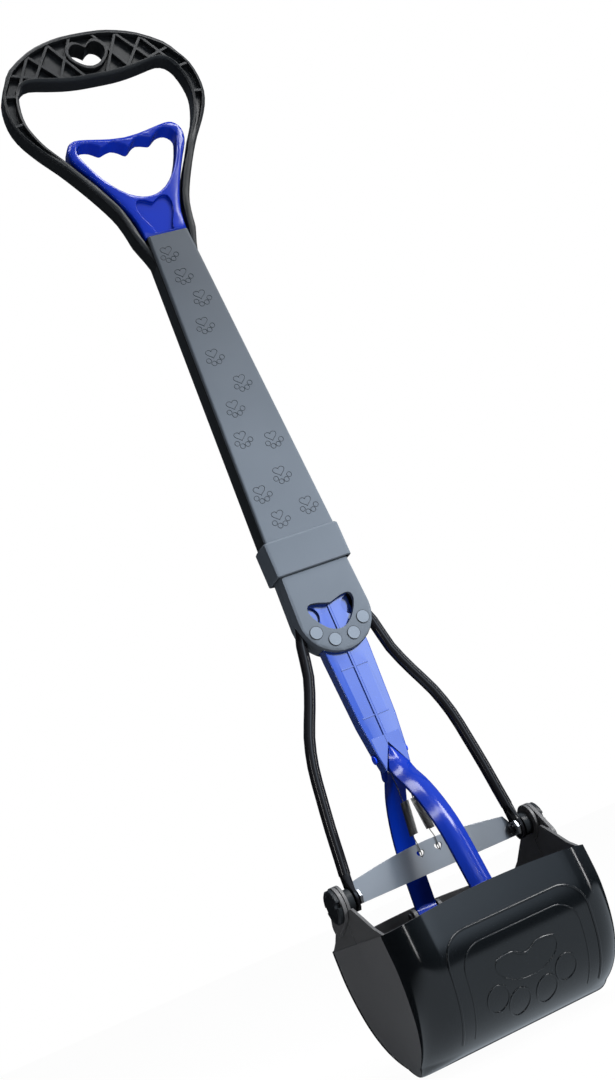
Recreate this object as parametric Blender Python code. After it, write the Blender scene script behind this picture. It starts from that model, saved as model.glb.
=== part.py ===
"""Long-handled jaw scooper for dog waste: a loop handle, a pull trigger, a tapered tube and two jaws.

Heights are measured from the jaw pivot axis. X runs along that axis, -Y is the front and
+Z runs up the handle.
The finished model hangs from the heart-shaped hole in the grip, which is at the world origin.
"""
import math

import bmesh
import bpy
from mathutils import Vector

# Overall layout, in metres
HANG_ABOVE_PIVOT = 0.5835
TUBE_TOP = 0.4394
TUBE_BOTTOM = 0.2060
LOOP_TOP = 0.6040
GAP = 0.0003
OVERRUN = 0.0040
FUSE = 0.0008
SKIN = 0.0002

# Loop handle
LOOP_HALF_WIDTH = 0.0704
LOOP_HALF_DEPTH = 0.0068
LOOP_EDGE = 0.0022
LOOP_RIM = 0.0024
GRIP_RIM = 0.0034
LOOP_RECESS = 0.0045
HANG_WIDTH = 0.0258
HANG_HEIGHT = 0.0190
HANG_RIM = 0.0022
RIB_THICKNESS = 0.0019
RIB_DROP = 0.0006
RIB_PITCH_SHARE = 0.234
RIB_CROSSINGS = 3

# Tapered tube
TUBE_TOP_HALF = 0.0143
TUBE_BOTTOM_HALF = 0.0248
TUBE_HALF_DEPTH = 0.0100
TUBE_WALL = 0.0020
COVER_THICKNESS = 0.0022
COVER_EDGE = 0.0018
TUBE_EDGE = 0.0016

# Collar over the joint of the tube and the lower body
COLLAR_LOW = 0.1940
COLLAR_HIGH = 0.2175
COLLAR_WALL = 0.0014
COLLAR_EDGE = 0.0012

# Lower body
BODY_LOW = 0.1375
BODY_TOP_HALF = 0.0230
BODY_LOW_HALF = 0.0250
BODY_HALF_DEPTH = 0.0092
BODY_WALL = 0.0020
BODY_EDGE = 0.0020
SPIGOT_LENGTH = 0.0140
WINDOW_LOW = 0.1518
WINDOW_HALF_WIDTH = 0.0158
WINDOW_HEIGHT = 0.0204
TOE_RADIUS = 0.0041
TOE_HEIGHT = 0.0005
ROD_SLOT_HALF_WIDTH = 0.0157
ROD_SLOT_HALF_DEPTH = 0.0060

# Steel wires and strap
WIRE_RADIUS = 0.0034
WIRE_EYE_INSET = 0.0093
WIRE_EYE_HALF_THICK = 0.0015
WIRE_EYE_RADIUS = 0.0076
WIRE_INSIDE_X = 0.0192
WIRE_INSIDE_TOP = 0.1920
STRAP_THICKNESS = 0.0015
STRAP_END_HIGH = 0.0094
STRAP_MIDDLE_HIGH = 0.0146
STRAP_LOW = -0.0044
STRAP_TAB_HIGH = 0.0040
STRAP_BEND = 0.0030
SPRING_HOLE_X = 0.0062
SPRING_HOLE_Z = 0.0080
SPRING_HOLE_WIDTH = 0.0052
SPRING_HOLE_HEIGHT = 0.0050

# Jaw pivots
PIN_RADIUS = 0.0023
PIN_PLAY = 0.0003
PIN_HEAD_RADIUS = 0.0033
PIN_HEAD_THICK = 0.0016
CAP_RADIUS = 0.0105
CAP_THICK = 0.0032
CAP_SOCKET = 0.0016
CAP_NOTCH_HALF = 0.0016
CAP_NOTCH_DEPTH = 0.0030
SPACER_RADIUS = 0.0070

# Jaws
JAW_HALF_WIDTH = 0.0670
JAW_LIP_HALF_WIDTH = 0.0620
JAW_REACH = 0.0670
JAW_RIM_Z = -0.0242
JAW_RIM_ARCH = 0.0044
JAW_LIP_Z = -0.1055
JAW_CORNER = 0.0220
JAW_WALL = 0.0022
HUB_RADIUS = 0.0110
EAR_REACH = 0.0470
PAD_REACH = 0.0170
PAD_DROP = 0.0120
PAD_RADIUS = 0.0052
WIRE_EYE_X = JAW_HALF_WIDTH - WIRE_EYE_INSET

# Linkage
ROD_PIN_Z = 0.0700
ROD_PIN_RADIUS = 0.0020
LUG_PIN_INSET = 0.0175
LUG_PIN_Y = JAW_REACH - LUG_PIN_INSET
LUG_PIN_Z = -0.0250
LUG_PIN_RADIUS = 0.0016
LUG_THICK = 0.0025
LUG_RADIUS = 0.0046
EYE_PLAY = 0.0017
EYE_SHIFT = 0.0014
ARM_EYE_WALL = 0.0014
ARM_HALF_WIDTH = 0.0070
ARM_RIDGE = 0.0028
ARM_FLANGE = 0.0022
ARM_SHEET = 0.0006
ARM_EYE_RADIUS = 0.0034
FRONT_EYE_HALF = 0.0021
REAR_EYE_INNER = 0.0046
REAR_EYE_OUTER = 0.0073

# Pull rod
ROD_TOP = 0.4115
ROD_LAP = 0.0265
ROD_HALF_DEPTH = 0.0050
ROD_UPPER_HALF = 0.0110
ROD_LOWER_HALF = 0.0148
ROD_END_HALF = 0.0103
ROD_TIP_HALF = 0.0084
ROD_TIP_Z = 0.0610
ROD_NOTCH_Z = 0.0770
ROD_NOTCH_WIDTH = 0.0160
ROD_DISH = 0.0009
ROD_EDGE = 0.0006
ROD_RIDGE_HALF = 0.0006
ROD_CREASE = 0.0008
ROD_CHEEK = 0.0024
ROD_TIP_SKIN = 0.0012
ROD_SCALLOP_Z = 0.1650
ROD_SCALLOP_RADIUS = 0.0068
ROD_SCALLOP_DEPTH = 0.0030

# Trigger
TRIGGER_HALF_WIDTH = 0.0418
TRIGGER_TOP = 0.5225
TRIGGER_FRONT = -0.0075
TRIGGER_BACK = 0.0060
TRIGGER_EDGE = 0.0023
TRIGGER_HOLE_EDGE = 0.0011
STEM_HALF_WIDTH = 0.0116
STEM_FRONT = -0.0065
STEM_BACK = 0.0050
PANEL_DEPTH = 0.0024

# Springs
SPRING_WIRE = 0.00036
SPRING_COIL_RADIUS = 0.0025
SPRING_TURNS = 15
SPRING_COIL_HIGH = 0.0405
SPRING_COIL_LOW = 0.0200
SPRING_TOP_X = 0.0036
COIL_POINTS = 8
WIRE_SIDES = 10

# Screws
SCREW_RADIUS = 0.0013
SCREW_HEAD_RADIUS = 0.0027
SCREW_HEAD_THICK = 0.0009
SCREW_BOSS_RADIUS = 0.0027
SCREW_TIP = 0.0024
COVER_SCREW_HIGH = 0.3000
COVER_SCREW_LOW = 0.2550
COVER_SCREW_INSET = 0.0052

ROUND_SIDES = 20
TOE_SIDES = 16
BORE_SIDES = 14
SCREW_SIDES = 12


def clear_scene():
    for obj in list(bpy.data.objects):
        bpy.data.objects.remove(obj, do_unlink=True)


def material(name, colour, roughness, metallic=0.0):
    made = bpy.data.materials.new(name)
    made.use_nodes = True
    shader = made.node_tree.nodes["Principled BSDF"]
    shader.inputs["Base Color"].default_value = (*colour, 1.0)
    shader.inputs["Roughness"].default_value = roughness
    shader.inputs["Metallic"].default_value = metallic
    made.diffuse_color = (*colour, 1.0)
    return made


def smooth_curve(points, steps):
    """Points of a curve that runs smoothly through the given ones, ends included."""
    found = []
    for i in range(len(points) - 1):
        a, b = Vector(points[max(i - 1, 0)]), Vector(points[i])
        c, d = Vector(points[i + 1]), Vector(points[min(i + 2, len(points) - 1)])
        for k in range(steps):
            t = k / steps
            bend, twist = 2 * a - 5 * b + 4 * c - d, 3 * b - a - 3 * c + d
            found.append((2 * b + (c - a) * t + bend * t**2 + twist * t**3) / 2)
    found.append(Vector(points[-1]))
    return found


def arc(centre, radius, start, end, steps):
    """Points on a circle, from start to end degrees, both included."""
    turns = [math.radians(start + (end - start) * k / steps) for k in range(steps + 1)]
    return [(centre[0] + radius * math.cos(t), centre[1] + radius * math.sin(t)) for t in turns]


def circle(centre, radius, sides=ROUND_SIDES):
    return arc(centre, radius, 0, 360 * (sides - 1) / sides, sides - 1)


def heart(centre_x, tip, width, height, sides=28):
    """A heart outline whose tip is at its lowest point."""
    found = []
    for k in range(sides):
        t = 2 * math.pi * k / sides
        x = math.sin(t) ** 3
        z = (13 * math.cos(t) - 5 * math.cos(2 * t) - 2 * math.cos(3 * t) - math.cos(4 * t) + 17) / 29
        found.append((centre_x + x * width / 2, tip + z * height))
    return found


def inset(points, distance):
    """The closed outline moved inwards by the distance, along the mean normal at each corner."""
    if not distance:
        return list(points)
    count = len(points)
    pairs = [(points[i], points[(i + 1) % count]) for i in range(count)]
    area = sum(a[0] * b[1] - b[0] * a[1] for a, b in pairs)
    turn = 1 if area > 0 else -1
    found = []
    for i, here in enumerate(points):
        before, after = Vector(points[i - 1]).to_2d(), Vector(points[(i + 1) % count]).to_2d()
        here = Vector(here).to_2d()
        one, two = (here - before).normalized(), (after - here).normalized()
        normal = Vector((-(one.y + two.y), one.x + two.x)).normalized() * turn
        spread = max(abs(one.dot(Vector((normal.y, -normal.x)))), 0.5)
        found.append(tuple(here + normal * distance / spread))
    return found


def place(point, level, axis):
    u, v = point
    return {"x": (level, u, v), "y": (u, level, v), "z": (u, v, level)}[axis]


# Shares of an edge's size that a rounded edge rises and is moved inwards, from its face to its side
EDGE_SHARES = ((0.0, 1.0), (0.3, 0.3), (1.0, 0.0))


class Piece:
    """Vertices and faces of one solid, gathered ring by ring."""

    def __init__(self):
        self.points = []
        self.faces = []

    def loft(self, rings):
        first = len(self.points)
        count = len(rings[0])
        for ring in rings:
            self.points.extend(tuple(p) for p in ring)
        for r in range(len(rings) - 1):
            a, b = first + r * count, first + (r + 1) * count
            for k in range(count):
                n = (k + 1) % count
                self.faces.append((a + k, a + n, b + n, b + k))
        self.faces.append(tuple(first + k for k in range(count)))
        last = first + (len(rings) - 1) * count
        self.faces.append(tuple(last + k for k in reversed(range(count))))
        return self

    def plate(self, outline, low, high, axis, edge_low=0, edge_high=0):
        """The outline extruded between two levels, with its edges rounded where an edge size is given."""
        steps = []
        for level, edge, way in ((low, edge_low, 1), (high, edge_high, -1)):
            turn = [(level, 0)]
            if edge:
                turn = [(level + way * edge * rise, edge * share) for rise, share in EDGE_SHARES]
            steps += turn if way > 0 else reversed(turn)
        return self.loft([[place(p, level, axis) for p in inset(outline, less)] for level, less in steps])

    def build(self, name, root, origin=(0, 0, 0), finish=None):
        mesh = bpy.data.meshes.new(name)
        shifted = [(p[0] - origin[0], p[1] - origin[1], p[2] - origin[2]) for p in self.points]
        mesh.from_pydata(shifted, [], self.faces)
        shaped = bmesh.new()
        shaped.from_mesh(mesh)
        bmesh.ops.recalc_face_normals(shaped, faces=shaped.faces)
        shaped.to_mesh(mesh)
        shaped.free()
        if finish:
            mesh.materials.append(finish)
        mesh.shade_smooth()
        mesh.set_sharp_from_angle(angle=math.radians(35))
        obj = bpy.data.objects.new(name, mesh)
        bpy.context.scene.collection.objects.link(obj)
        obj.parent = root
        obj.location = origin
        return obj


def combine(obj, other, operation):
    """Joins or cuts with a helper, which is left out of the finished model."""
    other.hide_render = True
    other.display_type = "WIRE"
    step = obj.modifiers.new(other.name, "BOOLEAN")
    step.operation = operation
    step.solver = "EXACT"
    step.object = other


def cut(obj, other):
    combine(obj, other, "DIFFERENCE")


def join(obj, other):
    combine(obj, other, "UNION")


def tube_half(z):
    """Half the width of the tapered tube at a height."""
    share = (TUBE_TOP - z) / (TUBE_TOP - TUBE_BOTTOM)
    return TUBE_TOP_HALF + (TUBE_BOTTOM_HALF - TUBE_TOP_HALF) * share


def body_half(z):
    """Half the width of the lower body at a height."""
    share = (TUBE_BOTTOM - z) / (TUBE_BOTTOM - BODY_LOW - BODY_LOW_HALF)
    return BODY_TOP_HALF + (BODY_LOW_HALF - BODY_TOP_HALF) * share


def rounded_box(half_x, low_y, high_y, edge):
    """Outline of a rectangle in plan whose four corners are rounded in two steps."""
    found = []
    corners = ((half_x, high_y, 0), (-half_x, high_y, 90), (-half_x, low_y, 180), (half_x, low_y, 270))
    for x, y, start in corners:
        centre = (x - math.copysign(edge, x), y - (edge if y == high_y else -edge))
        found += arc(centre, edge, start, start + 90, 2)
    return found


# Shares of the loop's half width and of its height above the tube, from the top down the right arm
LOOP_OUTER_SHARES = (
    (0.0, 1.0), (0.199, 0.997), (0.379, 0.982), (0.572, 0.952), (0.798, 0.887),
    (0.898, 0.824), (0.972, 0.763), (1.0, 0.687), (0.989, 0.617), (0.932, 0.550),
    (0.835, 0.482), (0.713, 0.411), (0.608, 0.340), (0.511, 0.266), (0.420, 0.190),
    (0.359, 0.125), (0.325, 0.052), (0.310, 0.010), (0.253, -0.060), (0.216, -0.120),
)
LOOP_INNER_SHARES = (
    (0.0, 0.771), (0.178, 0.772), (0.341, 0.779), (0.511, 0.793), (0.660, 0.805),
    (0.753, 0.791), (0.812, 0.752), (0.844, 0.687), (0.847, 0.626), (0.814, 0.569),
    (0.746, 0.499), (0.646, 0.431), (0.555, 0.361), (0.450, 0.287), (0.357, 0.208),
    (0.293, 0.140), (0.256, 0.064), (0.239, 0.019), (0.202, -0.042), (0.173, -0.100),
)
# Rows of the two tables where a rib crosses the channel of an arm
ARM_RIB_ROWS = (6, 8)
LOOP_STEPS = 2


def loop_points(shares):
    height = LOOP_TOP - TUBE_TOP
    half = [(x * LOOP_HALF_WIDTH, TUBE_TOP + z * height) for x, z in shares]
    right = smooth_curve([Vector(p) for p in half], LOOP_STEPS)
    left = [Vector((-p.x, p.y)) for p in reversed(right[1:])]
    return left + right


def loop_fade(z, low_share, high_share):
    """0 below one share of the loop's height, 1 above another, and in between a straight change."""
    share = (z - TUBE_TOP) / (LOOP_TOP - TUBE_TOP)
    return min(max((share - low_share) / (high_share - low_share), 0.0), 1.0)


def loop_ring(outer, inner):
    """Section of the loop: a band with rounded edges and a channel in its front, in the upper part."""
    across = outer - inner
    width = across.length
    rim = LOOP_RIM + (GRIP_RIM - LOOP_RIM) * loop_fade(outer.y, 0.80, 0.90)
    edge, rim = min(LOOP_EDGE, width * 0.28), min(rim, width * 0.32)
    draft = min(RIB_DROP, width * 0.08)
    back = [(edge, LOOP_HALF_DEPTH), (0, LOOP_HALF_DEPTH - edge)]
    front = [(share * edge, rise * edge - LOOP_HALF_DEPTH) for rise, share in reversed(EDGE_SHARES)]
    floor = -LOOP_HALF_DEPTH + LOOP_RECESS * loop_fade(outer.y, 0.41, 0.55)
    channel = [(rim, -LOOP_HALF_DEPTH), (rim + draft, floor)]
    inner_side = back + front + channel
    profile = inner_side + [(width - s, y) for s, y in reversed(inner_side)]
    return [(inner.x + across.x * s / width, y, inner.y + across.y * s / width) for s, y in profile]


def plan_box(half, low_y, high_y, z):
    """Ring of a plain rectangle in plan at a height."""
    return [(-half, low_y, z), (half, low_y, z), (half, high_y, z), (-half, high_y, z)]


def make_frame(root, finish):
    """Loop, arms and the back channel of the tube, one moulding."""
    outer, inner = loop_points(LOOP_OUTER_SHARES), loop_points(LOOP_INNER_SHARES)
    loop = Piece().loft([loop_ring(o, i) for o, i in zip(outer, inner)])
    frame = loop.build("handle_frame", root, finish=finish)

    front = -TUBE_HALF_DEPTH + COVER_THICKNESS + GAP
    levels = (TUBE_TOP, TUBE_BOTTOM)
    shell = [
        [(x, y, z) for x, y in rounded_box(tube_half(z), front, TUBE_HALF_DEPTH, TUBE_EDGE)]
        for z in levels
    ]
    join(frame, Piece().loft(shell).build("channel_body", root))

    seat = [
        plan_box(tube_half(z) + GAP, -2 * LOOP_HALF_DEPTH, front - GAP / 2, z)
        for z in (TUBE_TOP + GAP, TUBE_BOTTOM - OVERRUN)
    ]
    cut(frame, Piece().loft(seat).build("cover_seat", root))
    pocket_levels = (TUBE_TOP + OVERRUN, TUBE_BOTTOM - OVERRUN)
    back = TUBE_HALF_DEPTH - TUBE_WALL
    pocket = [
        plan_box(tube_half(z) - TUBE_WALL, front - OVERRUN, back, z)
        for z in pocket_levels
    ]
    cut(frame, Piece().loft(pocket).build("channel_pocket", root))

    for index, (x, z) in enumerate(cover_screw_places()):
        narrow, wide = SCREW_RADIUS + GAP, SCREW_HEAD_RADIUS + GAP
        floor, out = cover_screw_head() - GAP, TUBE_HALF_DEPTH + OVERRUN
        steps = ((narrow, back - OVERRUN), (narrow, floor), (wide, floor), (wide, out))
        hole = Piece().loft([[(u, y, v) for u, v in circle((x, z), r, SCREW_SIDES)] for r, y in steps])
        cut(frame, hole.build(f"frame_screw_hole_{index}", root))

    add_lattice(frame, root)
    hole, rim = hang_outline(0), hang_outline(HANG_RIM)
    tool = Piece().plate(rim, -LOOP_HALF_DEPTH - GAP, LOOP_HALF_DEPTH + GAP, "y")
    join(frame, tool.build("hang_rim", root))
    tool = Piece().plate(hole, -LOOP_HALF_DEPTH - OVERRUN, LOOP_HALF_DEPTH + OVERRUN, "y")
    cut(frame, tool.build("hang_hole", root))
    return frame


# Shares of the hanging heart's half width and height, from its cleft round the right lobe to its tip
HANG_SHARES = (
    (0.0, 0.775), (0.20, 0.90), (0.485, 1.0), (0.80, 0.91), (1.0, 0.68),
    (0.90, 0.41), (0.62, 0.19), (0.30, 0.045), (0.0, 0.0),
)


def hang_outline(more):
    tip = HANG_ABOVE_PIVOT - HANG_HEIGHT * 0.42
    half_width, height = HANG_WIDTH / 2 + more, HANG_HEIGHT + 2 * more
    return mirrored(smooth_shares(HANG_SHARES, half_width, tip - more, height, 2))


def level_at(points, x):
    """Height of a loop outline over the grip, at a distance from the middle."""
    for a, b in zip(points, points[1:]):
        if a.x <= x < b.x:
            return a.y + (b.y - a.y) * (x - a.x) / (b.x - a.x)
    raise ValueError("the outline doesn't reach that far")


def add_rib(frame, root, name, start, end):
    """A rib across the channel of the loop, which ends inside the rims."""
    along = (end - start).normalized()
    off = Vector((along.y, -along.x)) * RIB_THICKNESS / 2
    start, end = start - along * FUSE / 2, end + along * FUSE / 2
    low, high = -LOOP_HALF_DEPTH + RIB_DROP, -LOOP_HALF_DEPTH + LOOP_RECESS + FUSE
    tool = Piece().plate([start + off, end + off, end - off, start - off], low, high, "y")
    join(frame, tool.build(name, root))


def add_lattice(frame, root):
    """Criss-cross ribs in the grip, either side of the hanging hole, and ribs across the arms."""
    outer, inner = loop_points(LOOP_OUTER_SHARES), loop_points(LOOP_INNER_SHARES)
    pitch = RIB_PITCH_SHARE * LOOP_HALF_WIDTH
    for crossing in range(-RIB_CROSSINGS, RIB_CROSSINGS + 1):
        if not crossing:
            continue
        for lean in (-1, 1):
            foot, head = (crossing - lean / 2) * pitch, (crossing + lean / 2) * pitch
            start = Vector((foot, level_at(inner, foot) + GRIP_RIM))
            end = Vector((head, level_at(outer, head) - GRIP_RIM))
            add_rib(frame, root, f"grip_rib_{crossing}_{lean}", start, end)
    middle = len(outer) // 2
    for row in ARM_RIB_ROWS:
        for side in (-1, 1):
            high, low = outer[middle + side * LOOP_STEPS * row], inner[middle + side * LOOP_STEPS * row]
            rim = (high - low).normalized() * LOOP_RIM
            add_rib(frame, root, f"arm_rib_{row}_{side}", low + rim, high - rim)


def cover_screw_places():
    return [
        (side * (tube_half(z) - COVER_SCREW_INSET), z)
        for z in (COVER_SCREW_HIGH, COVER_SCREW_LOW)
        for side in (-1, 1)
    ]


def cover_screw_head():
    """How far back the heads of the cover's screws begin, so that they end inside the tube's back face."""
    return TUBE_HALF_DEPTH - SKIN - SCREW_HEAD_THICK


def make_cover(root, finish):
    """Front plate of the tube, with a boss behind it for each screw."""
    rings = []
    for z in (TUBE_TOP, TUBE_BOTTOM):
        half, front = tube_half(z), -TUBE_HALF_DEPTH
        back = front + COVER_THICKNESS
        outline = [(half, back)] + arc((half - COVER_EDGE, front + COVER_EDGE), COVER_EDGE, 0, -90, 3)
        outline += [(-x, y) for x, y in reversed(outline)]
        rings.append([(x, y, z) for x, y in outline])
    cover = Piece().loft(rings).build("tube_cover", root, finish=finish)
    boss_end = TUBE_HALF_DEPTH - TUBE_WALL - GAP
    for index, (x, z) in enumerate(cover_screw_places()):
        low = -TUBE_HALF_DEPTH + COVER_THICKNESS - FUSE
        tool = Piece().plate(circle((x, z), SCREW_BOSS_RADIUS, BORE_SIDES), low, boss_end, "y")
        join(cover, tool.build(f"boss_{index}", root))
        hole = Piece().plate(circle((x, z), SCREW_RADIUS + GAP, BORE_SIDES), 0, boss_end + OVERRUN, "y")
        cut(cover, hole.build(f"boss_hole_{index}", root))
    return cover


def make_screw(name, root, finish, x, z, head_at, tip_at):
    """A pan-head screw that lies along Y, with its head at the back."""
    way = 1 if head_at > tip_at else -1
    rings = []
    for radius, y in (
        (SCREW_RADIUS * 0.6, tip_at), (SCREW_RADIUS, tip_at + way * SCREW_RADIUS),
        (SCREW_RADIUS, head_at), (SCREW_HEAD_RADIUS, head_at),
        (SCREW_HEAD_RADIUS, head_at + way * SCREW_HEAD_THICK * 0.6),
        (SCREW_HEAD_RADIUS * 0.72, head_at + way * SCREW_HEAD_THICK),
    ):
        rings.append([(u, y, v) for u, v in circle((x, z), radius, SCREW_SIDES)])
    return Piece().loft(rings).build(name, root, finish=finish)


def make_collar(root, finish):
    """Sleeve over the joint of the tube and the lower body."""
    inner_half = tube_half(COLLAR_LOW) - COLLAR_EDGE / 4
    inner_half = max(inner_half, tube_half(TUBE_BOTTOM) + GAP)
    inner_depth = TUBE_HALF_DEPTH + GAP
    outer_half, outer_depth = inner_half + COLLAR_WALL, inner_depth + COLLAR_WALL
    rings = []
    for z, less in (
        (COLLAR_LOW, COLLAR_EDGE / 2), (COLLAR_LOW + COLLAR_EDGE / 2, 0),
        (COLLAR_HIGH - COLLAR_EDGE, 0), (COLLAR_HIGH, COLLAR_EDGE * 0.8),
    ):
        depth = outer_depth - less
        outline = rounded_box(outer_half - less, -depth, depth, TUBE_EDGE + COLLAR_WALL)
        rings.append([(x, y, z) for x, y in outline])
    collar = Piece().loft(rings).build("joint_collar", root, finish=finish)
    hole = [
        [(x, y, z) for x, y in rounded_box(inner_half, -inner_depth, inner_depth, TUBE_EDGE)]
        for z in (COLLAR_LOW - OVERRUN, COLLAR_HIGH + OVERRUN)
    ]
    cut(collar, Piece().loft(hole).build("collar_bore", root))
    return collar


def body_outline():
    """Front view of the lower body: straight tapered sides and a half-round end."""
    centre = BODY_LOW + BODY_LOW_HALF
    right = [(body_half(TUBE_BOTTOM), TUBE_BOTTOM - GAP)] + arc((0, centre), BODY_LOW_HALF, 0, -90, 9)
    return right + [(-x, z) for x, z in reversed(right[:-1])]


def make_lower_shell(root, finish, front):
    """One half of the lower body. The front half has the heart window and four toe studs."""
    way = -1 if front else 1
    name = "lower_front_shell" if front else "lower_rear_shell"
    split, face = way * GAP / 2, way * BODY_HALF_DEPTH
    steps = [(split, 0)]
    steps += [(face - way * BODY_EDGE * rise, BODY_EDGE * share) for rise, share in reversed(EDGE_SHARES)]
    rings = [[place(p, level, "y") for p in inset(body_outline(), less)] for level, less in steps]
    shell = Piece().loft(rings).build(name, root, finish=finish)

    neck_half = tube_half(TUBE_BOTTOM) - TUBE_WALL - 2 * GAP
    neck_top = TUBE_BOTTOM + SPIGOT_LENGTH
    neck_top_half = tube_half(neck_top) - TUBE_WALL - 2 * GAP
    neck_face = -TUBE_HALF_DEPTH + COVER_THICKNESS + GAP if front else TUBE_HALF_DEPTH - TUBE_WALL - GAP
    neck_low = TUBE_BOTTOM - OVERRUN
    neck = [
        (neck_half, neck_low), (neck_top_half, neck_top),
        (-neck_top_half, neck_top), (-neck_half, neck_low),
    ]
    join(shell, Piece().plate(neck, split, neck_face, "y").build(name + "_neck", root))

    hollow_half = neck_top_half - BODY_WALL
    hollow = box_outline(hollow_half, BODY_LOW + BODY_LOW_HALF / 2, neck_top + OVERRUN)
    inside = face - way * BODY_WALL
    inside_neck = neck_face - way * BODY_WALL
    hollow_face = inside_neck if abs(inside_neck) < abs(inside) else inside
    cut(shell, Piece().plate(hollow, -way * OVERRUN, hollow_face, "y").build(name + "_hollow", root))
    slot = box_outline(ROD_SLOT_HALF_WIDTH, BODY_LOW - OVERRUN, TUBE_BOTTOM)
    tool = Piece().plate(slot, -way * OVERRUN, way * ROD_SLOT_HALF_DEPTH, "y")
    cut(shell, tool.build(name + "_slot", root))
    for side in (-1, 1):
        groove = wire_rings(side, WIRE_RADIUS + GAP, WIRE_INSIDE_TOP + GAP)
        cut(shell, Piece().loft(groove[: len(groove) // 2 + 2]).build(f"{name}_groove_{side}", root))
    if front:
        window = mirrored(smooth_shares(WINDOW_SHARES, WINDOW_HALF_WIDTH, WINDOW_LOW, WINDOW_HEIGHT, 2))
        tool = Piece().plate(window, face - OVERRUN, face + BODY_WALL + OVERRUN / 2, "y")
        cut(shell, tool.build("pad_window", root))
        for index, (x, z) in enumerate(toe_places()):
            disc = circle((x, z), TOE_RADIUS, TOE_SIDES)
            toe = Piece().plate(disc, face - TOE_HEIGHT, face + BODY_WALL / 2, "y", TOE_HEIGHT / 2)
            join(shell, toe.build(f"toe_{index}", root))
    return shell


# Shares of the window's half width and height, from its cleft round the right lobe to its lowest point
WINDOW_SHARES = (
    (0.0, 0.858), (0.22, 0.905), (0.50, 0.970), (0.80, 1.0), (0.97, 0.93),
    (1.0, 0.76), (0.88, 0.53), (0.72, 0.34), (0.48, 0.14), (0.22, 0.03),
    (0.0, 0.0),
)
# Shares of the lower body's half width, across and above its end
TOE_SHARES = ((-0.656, 0.66), (-0.26, 0.36), (0.26, 0.36), (0.656, 0.66))


def toe_places():
    return [(x * BODY_LOW_HALF, BODY_LOW + z * BODY_LOW_HALF) for x, z in TOE_SHARES]


# Shares of the distance from the wire's place inside the body to its eye, and of the height of its top
WIRE_SHARES = (
    (0.0, 1.0), (0.0, 0.92), (0.03, 0.86), (0.155, 0.786), (0.255, 0.685),
    (0.44, 0.592), (0.64, 0.505), (0.772, 0.415), (0.845, 0.32), (0.91, 0.22),
    (0.955, 0.13), (0.985, 0.075),
)


def wire_path(top):
    span = WIRE_EYE_X - WIRE_INSIDE_X
    points = [(WIRE_INSIDE_X + x * span, z * top) for x, z in WIRE_SHARES]
    return smooth_curve([Vector(p) for p in points], 2)


def wire_rings(side, radius, top=WIRE_INSIDE_TOP):
    """Rings of the bent wire, from its top inside the body down to where it is flattened."""
    path = wire_path(top)
    rings = []
    for i, here in enumerate(path):
        before, after = path[max(i - 1, 0)], path[min(i + 1, len(path) - 1)]
        along = (after - before).normalized()
        normal = Vector((along.y, -along.x))
        ring = []
        for k in range(WIRE_SIDES):
            turn = 2 * math.pi * k / WIRE_SIDES
            off = normal * radius * math.cos(turn)
            ring.append((side * (here.x + off.x), radius * math.sin(turn), here.y + off.y))
        rings.append(ring)
    return rings


def make_wire(root, finish, side):
    """A bent steel wire whose lower end is flattened into an eye round the jaw pivot."""
    name = "wire_left" if side < 0 else "wire_right"
    rings = wire_rings(side, WIRE_RADIUS)
    for z, wide, thick in (
        (WIRE_EYE_RADIUS * 0.62, 0.88, 1.2), (WIRE_EYE_RADIUS * 0.2, 1.0, 1.0),
        (-WIRE_EYE_RADIUS * 0.3, 0.97, 1.0), (-WIRE_EYE_RADIUS * 0.75, 0.70, 1.0),
        (-WIRE_EYE_RADIUS, 0.28, 1.0),
    ):
        ring = []
        for k in range(WIRE_SIDES):
            turn = 2 * math.pi * k / WIRE_SIDES
            square = [math.copysign(abs(c) ** 0.6, c) for c in (math.cos(turn), math.sin(turn))]
            x = WIRE_EYE_X - WIRE_EYE_HALF_THICK * thick * square[0]
            ring.append((side * x, WIRE_EYE_RADIUS * wide * square[1], z))
        rings.append(ring)
    wire = Piece().loft(rings).build(name, root, finish=finish)
    hole = circle((0, 0), PIN_RADIUS + PIN_PLAY)
    reach = sorted((side * (WIRE_EYE_X - OVERRUN), side * (WIRE_EYE_X + OVERRUN)))
    cut(wire, Piece().plate(hole, reach[0], reach[1], "x").build(name + "_hole", root))
    return wire


def strap_front():
    return WIRE_RADIUS + GAP


def strap_end():
    return WIRE_EYE_X - WIRE_EYE_HALF_THICK - GAP


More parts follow.
